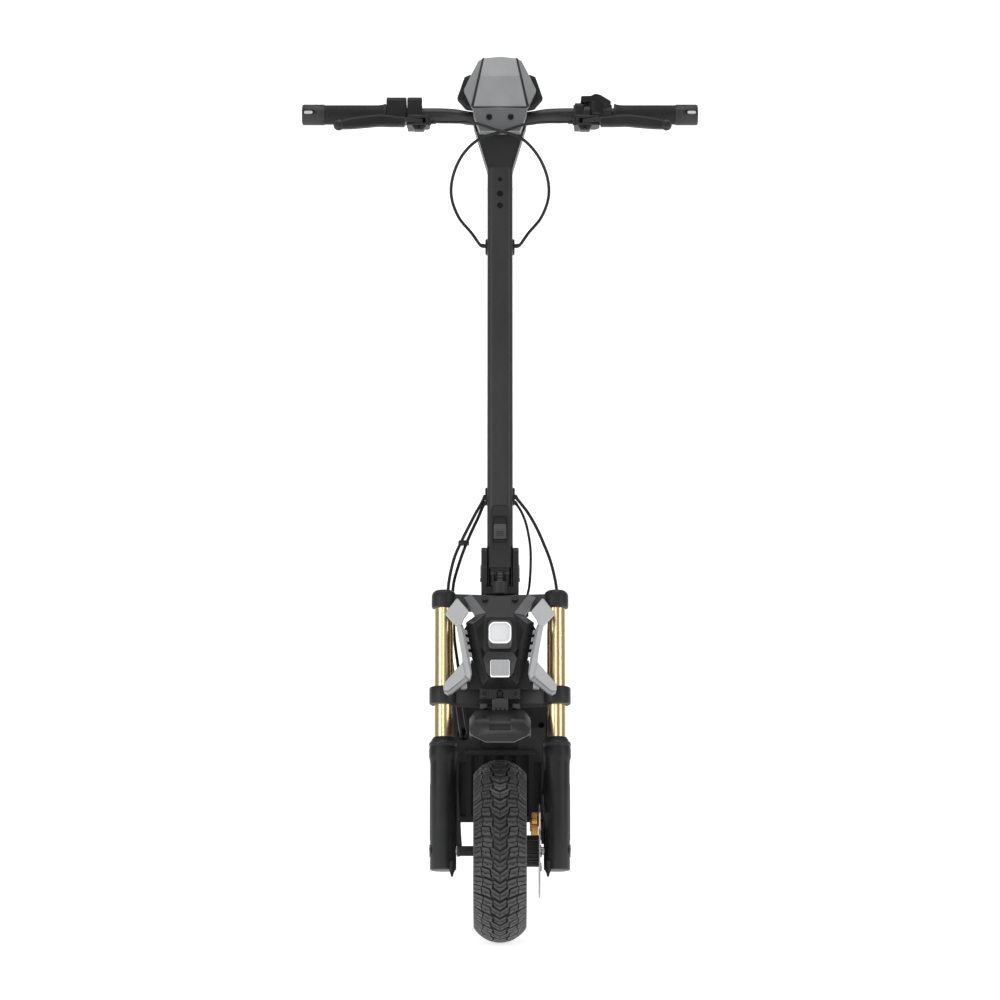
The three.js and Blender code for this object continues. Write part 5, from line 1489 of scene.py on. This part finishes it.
def controls():
    body = "stem"
    centre = (0, *BAR_END)
    for side in (-1, 1):
        brake_clamp(side)
        brake_lever(side)
    ring = [(11, -176.5), (15.2, -176.5), (16, -175.6), (16, -145.6), (15.2, -144.7), (11, -144.7)]
    dress(turned("throttle_ring", ring, "x", centre, closed=True, sides=64), PLASTIC, body, bevel=0,
          replaces=("throttle_housing",))
    box_outline = [(23, 1147), (30, 1138.6), (50, 1138.6), (55, 1147), (55, 1172), (48, 1179), (29, 1179), (23, 1173)]
    case = prism("throttle_case", box_outline, "x", -176.3, -145.2)
    carve(case, rod("bore", 11.0, -400, 400, "x", centre))
    dress(case, PLASTIC, body, bevel=1.8, segments=4)
    dress(prism("throttle_lug", [(49, 1144), (62, 1146), (62, 1157), (50, 1161)], "x", -173.5, -170.3), PLASTIC, body,
          bevel=0.7)
    for i, x in enumerate((-171, -151)):
        screw(f"throttle_case_screw_{i + 1}", (x, 52.8, 1168), (0, 1, 0), 1.9, body)
    paddle = prism("throttle_thumb", [(57.5, 1147), (68, 1145.4), (83.4, 1147.4), (86, 1149.4), (85.4, 1152.4),
                                      (72, 1155.4), (63, 1157.6), (57.5, 1158)], "x", -170, -150)
    dress(paddle, DARK_GREY, "throttle_paddle", bevel=1.2, segments=3, replaces=("throttle_paddle",))
    for i in range(4):
        t = 67 + i * 4.2
        s = 1157.2 - i * 1.1
        dress(block(f"throttle_rib_{i + 1}", (-168, -152), (t, t + 1.4), (s - 2.2, s - 0.2)), GRIP, "throttle_paddle",
              bevel=0.3)
    ring = [(11, 141.4), (15.2, 141.4), (16, 142.2), (16, 173), (15.2, 173.8), (11, 173.8)]
    dress(turned("switch_ring", ring, "x", centre, closed=True, sides=64), PLASTIC, body, bevel=0,
          replaces=("switch_housing",))
    profile = [(125, 1170.2), (141.2, 1170.2), (141.2, 1158), (172, 1158), (172, 1172), (156, 1182), (148, 1184),
               (141, 1180.4), (126, 1180)]
    case = prism("switch_case", profile, "y", 25.4, 56)
    carve(case, rod("bore", 11.0, -400, 400, "x", centre),
          rod("pocket", 5.5, 50, 70, "y", (158, 0, 1170.5), sides=40))
    dress(case, PLASTIC, body, bevel=1.7, segments=4)
    prow = prism("switch_prow", [(141.3, 24.4), (141.3, 8), (146, 8), (160, 25)], "z", 1148.5, 1166)
    dress(prow, PLASTIC, body, bevel=1.4, segments=3)
    dress(prism("switch_window", [(161, 1160), (164.4, 1160), (164.4, 1168), (161, 1168)], "y", 24.2, 26), GRIP, body,
          bevel=0.4)
    for i, (x, s) in enumerate(((131, 1175), (167, 1163))):
        screw(f"switch_case_screw_{i + 1}", (x, 55.8, s), (0, 1, 0), 1.9, body)
    rocker = prism("light_switch", rounded(9, 6, 1.6, 147, 1174), "y", 55.4, 58.2)
    dress(rocker, DARK_GREY, body, bevel=0.7)
    horn = [(0, 53.6), (5.0, 53.6), (5.0, 58.6), (4.4, 59.5), (2.6, 59.8), (0, 59.5)]
    dress(turned("horn_key", horn, "y", (158, 0, 1170.5), sides=48), COPPER, "horn_button", bevel=0,
          replaces=("horn_button",))


# ------------------------------------------------------------------ hoses and cables
def hose(name, route, body, radius=2.4, replaces=()):
    piece = swept(name, smooth_path(route, 10), radius, sides=20)
    return dress(piece, HOSE, body, bevel=0, angle=80, replaces=replaces)


def ferrule(name, start, towards, body, radius=3.3, length=9.0):
    a = Vector(start)
    way = (Vector(towards) - a).normalized()
    path = [a + way * length * f for f in (0, 0.08, 0.62, 0.7, 0.76, 0.95, 1.0)]
    radii = [radius * 0.9, radius, radius, radius * 0.84, radius * 0.84, radius * 0.8, radius * 0.72]
    dress(swept(name, path, radii, sides=24), PLASTIC, body, bevel=0, angle=35)


def world(point):
    return tuple(FORK @ Vector(point))


def hoses():
    for side, tag in ((-1, "left"), (1, "right")):
        depth = -20 if side > 0 else -26
        start = 112.8 if side > 0 else 106.8
        route = [(start, 10, 1133.5), (92, 4, 1131), (70, -8, 1127), (40, depth, 1120), (0, depth - 1, 1107),
                 (-32, depth, 1096), (-57, -12, 1074), (-72, 6, 1046), (-75, 18, 1016), (-64, 26, 985),
                 (-44, 28, 960), (-30, 27, 940), (-22.2, 27, 938.5)]
        route = [(side * x, t, s) for x, t, s in route]
        hose(f"brake_hose_upper_{tag}", route, "stem", replaces=(f"hose_upper_{tag}",))
        ferrule(f"brake_hose_end_{tag}", route[0], route[1], "stem")
        ferrule(f"brake_hose_gland_{tag}", route[-1], route[-2], "stem")
    # The lower runs hang between the stem's ports and the crown, then go on to the frame or the caliper.
    left_outer = [(-21.8, 21, 544.5), (-25.2, 21, 538.5), (-29, 21.2, 531), (-37, 22, 517), (-47.8, 24, 496),
                  (-58, 28, 476), (-70, 33, 448), (-78, 38, 410), (-79, 42, 370)]
    left_inner = [(-21.8, 32, 537.5), (-25.6, 32, 531), (-29.4, 32.2, 522), (-34.4, 32.6, 510), (-40.6, 33, 497),
                  (-50, 37, 476), (-61, 43, 447), (-71, 49, 410), (-71, 52, 370)]
    right_outer = [(21.8, 21, 544.5), (26, 21, 539.5), (33.4, 21.3, 530), (42, 22, 518.5), (54, 24, 498),
                   (66, 28, 472), (78, 32, 440), (86, 36, 400), (84, 42, 370)]
    right_inner = [(21.8, 32, 537.5), (26, 32, 532), (32.4, 31.6, 521.5), (39, 31, 504.7), (43.8, 32, 483),
                   (46.4, 33.4, 461), (46.4, 39, 436), (44.6, 51, 411), (42, 62, 398), (40, 68, 372)]
    for name, route, radius in (("left_outer", left_outer, 2.4), ("left_inner", left_inner, 2.4),
                                ("right_outer", right_outer, 2.4), ("right_inner", right_inner, 2.0)):
        piece = hose(f"hose_{name}_upper_run", route, None, radius, replaces=(f"hose_lower_{name}",))
        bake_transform(piece)
        ferrule(f"hose_{name}_gland", route[0], route[1], "stem", radius + 0.9, 7)
        clip_at = Vector(route[-1])
        ring = swept(f"hose_{name}_guide", [clip_at + Vector((0, 0, 4)), clip_at - Vector((0, 0, 6))],
                     radius + 1.5, sides=24)
        dress(ring, PLASTIC, "steering", bevel=0.5)
    left_outer_low = [(-79, 42, 372), (-78, 43, 345), (-76, 44, 320), (-70, 52, 270), (-64, 74, 222), (-60, 98, 195),
                      (-58.5, 121, 190)]
    left_inner_low = [(-71, 52, 372), (-70, 53, 345), (-68, 54, 320), (-60, 62, 265), (-54, 84, 220), (-50, 106, 195),
                      (-51.5, 122, 190)]
    for name, route in (("left_outer", left_outer_low), ("left_inner", left_inner_low)):
        piece = hose(f"hose_{name}_lower_run", route, None)
        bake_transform(piece)
        ferrule(f"hose_{name}_frame_gland", route[-1], route[-2], "frame", 3.6, 10)
    right_low = [(84, 42, 372), (82, 42, 345), (80, 42, 310), (74, 38, 240), (70, 36, 160), (66, 44, 90)]
    piece = hose("hose_right_outer_lower_run", right_low, None)
    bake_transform(piece)
    ferrule("hose_caliper_end", right_low[-1], right_low[-2], "fork_lowers", 3.4, 10)
    # Clip that ties the two left hoses together above the crown.
    a, b = Vector((-59.0, 28.6, 473.5)), Vector((-51.2, 37.6, 473.5))
    middle = (a + b) / 2
    tie = loft("hose_tie", [[middle + Vector((x * 1.0, t, s)) for x, t in rounded(16.5, 15, 3.6)] for s in (-3, 3)])
    dress(tie, PLASTIC, None, bevel=0.9)
    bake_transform(tie)


# ------------------------------------------------------------------ neck and deck
def neck():
    body = "frame"
    head = rod("head_tube", 24, 250, 355.5, "z", (0, STEER_T, 0), sides=72, chamfer=1.4)
    carve(head, rod("bore", 17, 240, 372, "z", (0, STEER_T, 0), sides=64))
    dress(head, BLACK, body, bevel=0, angle=30, replaces=("frame_neck",))
    for i, s in enumerate((256, 346)):
        ring = [(24, s - 3.5), (25.6, s - 2.6), (25.6, s + 2.6), (24, s + 3.5)]
        dress(turned(f"head_tube_ring_{i + 1}", ring, "z", (0, STEER_T, 0), sides=72, closed=True), BLACK, body, bevel=0)
    side = [(97, 374.5), (124, 367), (141, 330), (153, 300), (158.5, 279), (158.5, 200), (262, 200), (262, 247),
            (228, 300), (150, 462), (118, 468)]
    rings = []
    for x, grow in ((-28, 5), (-22, 0), (22, 0), (28, 5)):
        cy, cz = 175, 310
        rings.append([(x, y + (cy - y) * grow / 150, z + (cz - z) * grow / 150) for y, z in side])
    beam = loft("neck_beam", rings, axes=DECK)
    carve(beam, rod("bore", 23.5, 240, 372, "z", (0, STEER_T, 0), sides=48))
    dress(beam, BLACK, body, bevel=2.2, segments=3)
    for sx, tag in ((-1, "left"), (1, "right")):
        pocket_rings = [(158.6, 221), (262, 221), (262, 247), (202, 351.8), (174, 351.8), (158.6, 310)]
        low, high = sorted((sx * 28, sx * 72.6))
        gusset = prism(f"neck_gusset_{tag}", pocket_rings, "x", low, high, axes=DECK)
        if sx > 0:
            carve(gusset, rod("hole", 4.4, 100, 190, "y", (sx * 62.6, 0, 314), DECK, sides=32))
        else:
            carve(gusset, rod("hole", 8.4, 120, 190, "y", (sx * 55, 0, 300), DECK, sides=32))
        dress(gusset, BLACK, body, bevel=2.0, segments=3)
        for i, (y, z) in enumerate(((182, 312), (238, 256))):
            screw(f"neck_gusset_screw_{tag}_{i + 1}", (sx * 72.4, y, z), (sx, 0, 0), 3.4, body, DECK)
    plan = [(-64, 158.6), (64, 158.6), (105, 200), (105, 262), (-105, 262), (-105, 200)]
    nose = prism("deck_nose_block", plan, "z", 166, 248.6, axes=DECK)
    dress(nose, BLACK, body, bevel=3.2, segments=4)
    grille_outline = [(-65.5, 166), (65.5, 166), (65.5, 263), (53, 277), (-53, 277), (-65.5, 263)]
    plate = prism("grille_plate", grille_outline, "y", 150.5, 158.2, axes=DECK)
    for i in range(-3, 4):
        top = 258 if abs(i) == 3 else 268
        carve(plate, prism("slot", rounded(12, top - 175, 2.2, i * 18.8, (top + 175) / 2, steps=4), "y", 140, 156,
                           axes=DECK))
    dress(plate, PLASTIC, body, bevel=1.2, segments=3, replaces=("neck_grille",))
    dress(prism("grille_brow", [(-54, 270), (54, 270), (49, 276), (-49, 276)], "y", 149.4, 152, axes=DECK), PLASTIC, body,
          bevel=0.8)


def deck():
    body = "frame"

    def section(inset):
        w, low, high = 105 - inset, 166 + inset, 249 - inset
        half = [(w - 12, low), (w - 3, low + 5), (w, low + 13), (w, 203), (w - 2.4, 206), (w - 2.4, 213), (w, 216),
                (w, high - 6), (w - 1.6, high - 1.8), (w - 6, high)]
        return both(half)

    def ring(inset, y):
        return [(x, y, z) for x, z in section(inset)]

    shell = loft("deck_extrusion", [ring(1.4, 262.4), ring(0, 264), ring(0, 763.4), ring(1.4, 765)], axes=DECK)
    carve(shell, block("cavity", (-92, 92), (268, 759), (120, 245), axes=DECK))
    dress(shell, BLACK, body, bevel=0.7, segments=3, angle=20, replaces=("deck_shell",))
    kick = [(700, 248), (764, 248), (810, 288), (806, 294), (785, 294), (708, 252)]
    dress(prism("kick_plate", kick, "x", -75, 75, axes=DECK), BLACK, body, bevel=2.4, segments=3)
    ribs = []
    for i in range(7):
        y = 716 + i * 9.6
        z = 254.8 + (y - 708) * 42 / 77 * 1.0
        ribs.append((y, z))
    for i, (y, z) in enumerate(ribs):
        strip = [(y, z - 1), (y + 4.6, z + 1.5), (y + 4.6, z + 2.9), (y, z + 0.5)]
        dress(prism(f"kick_plate_rib_{i + 1}", strip, "x", -66, 66, axes=DECK), MAT_RUBBER, body, bevel=0.4)
    dress(block("deck_tail_block", (-42, 42), (763, 812), (170, 249), axes=DECK), BLACK, body, bevel=3)
    # Rubber mat with a border and rows of raised lozenges.
    outline = rounded(184, 432, 14, 0, 482, steps=8)
    dress(prism("deck_mat_sheet", outline, "z", 249.1, 250.9, axes=DECK), MAT_RUBBER, body, bevel=0.4,
          replaces=("deck_mat",))
    bm = bmesh.new()
    for row in range(26):
        y = 282 + row * 16
        for column in range(-5, 6):
            x = column * 15.6 + (7.8 if row % 2 else 0)
            if abs(x) > 82:
                continue
            loops = []
            for grow, z in ((1.0, 250.8), (1.0, 251.5), (0.84, 252.0)):
                loops.append([bm.verts.new((x + dx * grow, y + dy * grow, z))
                              for dx, dy in ((-5.6, 0), (-1.6, -5.2), (1.6, -5.2), (5.6, 0), (1.6, 5.2), (-1.6, 5.2))])
            for a, b in zip(loops, loops[1:]):
                for k in range(6):
                    j = (k + 1) % 6
                    bm.faces.new((a[k], a[j], b[j], b[k]))
            bm.faces.new(loops[-1])
            bm.faces.new(loops[0][::-1])
    dress(new_object("deck_mat_lozenges", bm, DECK), MAT_RUBBER, body, bevel=0, angle=20)
    for sx, tag in ((-1, "left"), (1, "right")):
        rim = [(sx * 92.4, 251.4), (sx * 98.6, 249), (sx * 92.4, 249)]
        dress(prism(f"deck_mat_edge_{tag}", rim, "y", 272, 692, axes=DECK), BLACK, body, bevel=0.3)
        low, high = sorted((sx * 103.0, sx * 104.6))
        dress(block(f"deck_side_light_{tag}", (low, high), (300, 730), (206.6, 212.4), axes=DECK), LENS_LOW, body,
              bevel=0.5)
        for i in range(5):
            screw(f"deck_side_screw_{tag}_{i + 1}", (sx * 104.6, 290 + i * 110, 232), (sx, 0, 0), 2.8, body, DECK)
    port = rod("charge_port_ring", 9.5, 103.6, 106, "x", (0, 700, 190), DECK, sides=40, chamfer=0.8)
    dress(port, PLASTIC, body, bevel=0)
    # Bottom cover with stiffening ribs, screws and the kickstand's bracket.
    cover = block("deck_cover_plate", (-91.7, 91.7), (266.8, 760.4), (166, 170), axes=DECK)
    dress(cover, BLACK, body, bevel=0.8, replaces=("deck_bottom_cover",))
    for i in range(-2, 3):
        dress(prism(f"deck_cover_rib_{i + 3}", rounded(7, 430, 3, i * 32, 500), "z", 163.8, 166.4, axes=DECK), BLACK,
              body, bevel=0.6)
    for sx in (-1, 1):
        for i in range(6):
            screw(f"deck_cover_screw_{sx + 2}_{i + 1}", (sx * 84, 280 + i * 92.6, 166.2), (0, 0, -1), 2.8, body, DECK)
    bracket = block("kickstand_bracket", (66, 91), (408, 436), (148, 167), axes=DECK)
    carve(bracket, block("slot", (73, 85), (400, 445), (140, 165), axes=DECK))
    dress(bracket, BLACK, body, bevel=1.6, segments=3)
    dress(rod("kickstand_pin", 3.6, 64.6, 92.4, "x", (0, 420, 156), DECK, sides=32, chamfer=0.6), STEEL, body, bevel=0)
    leg = hull(arc(420, 156, 7, 0, 330, 11) + arc(470, 156, 5.6, 0, 330, 11))
    dress(prism("kickstand_arm", leg, "x", 73.4, 84.6, axes=DECK), BLACK, "kickstand", bevel=1.4, segments=3,
          replaces=("kickstand_leg",))
    tube = [(79, 462, 156), (79, 520, 156), (79, 560, 156), (79, 574, 156)]
    dress(swept("kickstand_tube", tube, 5.2, axes=DECK, sides=28), BLACK, "kickstand", bevel=0)
    foot = [(0, 560), (5.3, 560), (5.7, 562), (5.7, 578), (4.4, 580.6), (0, 581)]
    dress(turned("kickstand_foot", foot, "y", (79, 0, 156), DECK, sides=32), GRIP, "kickstand", bevel=0)


# ------------------------------------------------------------------ rear end
def rear_end():
    body = "swingarm"
    pivot_y, pivot_z = 790, 190
    for sx, tag in ((-1, "left"), (1, "right")):
        side = hull(arc(pivot_y, pivot_z, 20, 0, 345, 23) + arc(WHEELBASE, AXLE_Z, 18, 0, 345, 23))
        low, high = sorted((sx * 50.2, sx * 61.8))
        arm = prism(f"swingarm_arm_{tag}", side, "x", low, high, axes=DECK)
        pocket = hull(arc(828, 181, 8, 0, 345, 23) + arc(986, 146, 7, 0, 345, 23))
        outer = sorted((sx * 58.8, sx * 70))
        carve(arm, prism("pocket", pocket, "x", *outer, axes=DECK))
        dress(arm, BLACK, body, bevel=1.8, segments=3, replaces=("swingarm",) if sx < 0 else ())
        profile = [(0, 61.9), (13, 61.9), (13, 63.4), (11.8, 64.6), (6, 64.6), (5.4, 63.2), (0, 63.2)]
        cap = turned(f"swingarm_pivot_cap_{tag}", [(r, sx * x) for r, x in profile], "x", (0, pivot_y, pivot_z), DECK)
        dress(cap, STEEL, body, bevel=0)
        nut = [(0, 61.9), (14, 61.9), (14, 63.4), (11, 63.8), (10.4, 69.4), (9, 71.4), (5, 71.9), (0, 71.9)]
        dress(turned(f"rear_axle_nut_{tag}", [(r, sx * x) for r, x in nut], "x", (0, WHEELBASE, AXLE_Z), DECK, sides=6 * 6),
              STEEL, body, bevel=0, replaces=("rear_axle",) if sx < 0 else ())
        sleeve = [(8.4, 42.5), (15.4, 42.5), (16, 43.2), (16, 51), (8.4, 51)]
        dress(turned(f"swingarm_bush_{tag}", [(r, sx * x) for r, x in sleeve], "x", (0, pivot_y, pivot_z), DECK,
                     closed=True), BLACK, body, bevel=0)
    dress(rod("rear_axle_shaft", 7, -62, 62, "x", (0, WHEELBASE, AXLE_Z), DECK), STEEL, body, bevel=0)
    dress(block("swingarm_bridge", (-51, 51), (828, 846), (164, 190), axes=DECK), BLACK, body, bevel=2.6, segments=3)
    pin = rod("swingarm_pivot_pin", 8, -61, 61, "x", (0, pivot_y, pivot_z), DECK)
    dress(pin, STEEL, "frame", bevel=0, replaces=("swingarm_pin",))
    caliper("rear_brake", REAR_WHEEL, 44, body, COPPER, 62, 55, "rear_caliper", 0.8)
    # Mudguard: a curved shell with turned-down edges, carried by a tongue and two stays.
    rings = []
    for i in range(41):
        angle = 160 - i * 118 / 40
        taper = 1 - 0.10 * max(0.0, (angle - 130) / 30) - 0.08 * max(0.0, (62 - angle) / 20)
        w = 43 * taper
        shape = [(-w, 143.5), (-w, 147.8), (-w + 4.6, 151.6), (w - 4.6, 151.6), (w, 147.8), (w, 143.5), (w - 2.2, 143.5),
                 (w - 2.2, 147), (w - 5.4, 149.2), (-w + 5.4, 149.2), (-w + 2.2, 147), (-w + 2.2, 143.5)]
        a = math.radians(angle)
        rings.append([(x, WHEELBASE + r * math.cos(a), AXLE_Z + r * math.sin(a)) for x, r in shape])
    dress(loft("rear_fender_shell", rings, axes=DECK), PLASTIC, body, bevel=0.5, angle=30, replaces=("rear_fender",))
    rib = []
    for i in range(37):
        a = math.radians(154 - i * 88 / 36)
        rib.append([(x, WHEELBASE + r * math.cos(a), AXLE_Z + r * math.sin(a))
                    for x, r in ((-7, 151.2), (-4.6, 153.4), (4.6, 153.4), (7, 151.2))])
    dress(loft("rear_fender_spine", rib, axes=DECK), PLASTIC, body, bevel=0.4)
    dress(block("rear_fender_tongue", (-28, 28), (845, 894), (180.4, 187.6), axes=DECK), PLASTIC, body, bevel=1.2)
    for sx, tag in ((-1, "left"), (1, "right")):
        stay = [(sx * 56, 985, 166), (sx * 53, 1010, 200), (sx * 47, 1030, 245), (sx * 43.2, 1040, 282)]
        dress(swept(f"rear_fender_stay_{tag}", smooth_path(stay, 8), 3.0, axes=DECK, sides=20), BLACK, body, bevel=0)
        screw(f"rear_fender_stay_screw_{tag}", (sx * 61.6, 985, 160), (sx, 0, 0), 4.0, body, DECK)
        screw(f"rear_fender_tongue_screw_{tag}", (sx * 18, 870, 187.6), (0, 0, 1), 3.4, body, DECK)
    lamp = []
    for angle in (50, 52, 58, 60):
        a = math.radians(angle)
        drop = 1.6 if angle in (50, 60) else 0
        lamp.append([(x, WHEELBASE + r * math.cos(a), AXLE_Z + r * math.sin(a))
                     for x, r in ((-25, 152.4), (-25 + drop, 158.6 - drop), (-21, 160 - drop), (21, 160 - drop),
                                  (25 - drop, 158.6 - drop), (25, 152.4))])
    dress(loft("tail_lamp_lens", lamp, axes=DECK), RED, body, bevel=0.5, replaces=("tail_light",))
    frame_rings = []
    for angle in (48.6, 61.4):
        a = math.radians(angle)
        frame_rings.append([(x, WHEELBASE + r * math.cos(a), AXLE_Z + r * math.sin(a))
                            for x, r in ((-27, 151), (-27, 154.6), (27, 154.6), (27, 151))])
    dress(loft("tail_lamp_base", frame_rings, axes=DECK), PLASTIC, body, bevel=0.6)


def inner_parts():
    """Parts kept from CAD: the battery and the controller, in their own coats."""
    for node, mat in (("battery_pack", PLASTIC), ("controller_box", SILVER)):
        for obj in bpy.data.objects:
            if obj.type == "MESH" and obj.name == node:
                for slot in obj.material_slots:
                    slot.material = mat


# ------------------------------------------------------------------ everything together
front_wheel()
rear_wheel()
fork_lowers()
front_brake()
crowns()
headlight()
blades()
fender()
fold_base()
stem()
stem_head()
display()
handlebar()
controls()
hoses()
neck()
deck()
rear_end()
inner_parts()
camera_and_stage()
visual_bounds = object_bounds()


def plain(value):
    if isinstance(value, dict):
        return {key: plain(item) for key, item in value.items()}
    if isinstance(value, (list, tuple, Vector)):
        return [plain(item) for item in value]
    return value


{"cad": plain(cad_bounds), "visual": plain(visual_bounds)}
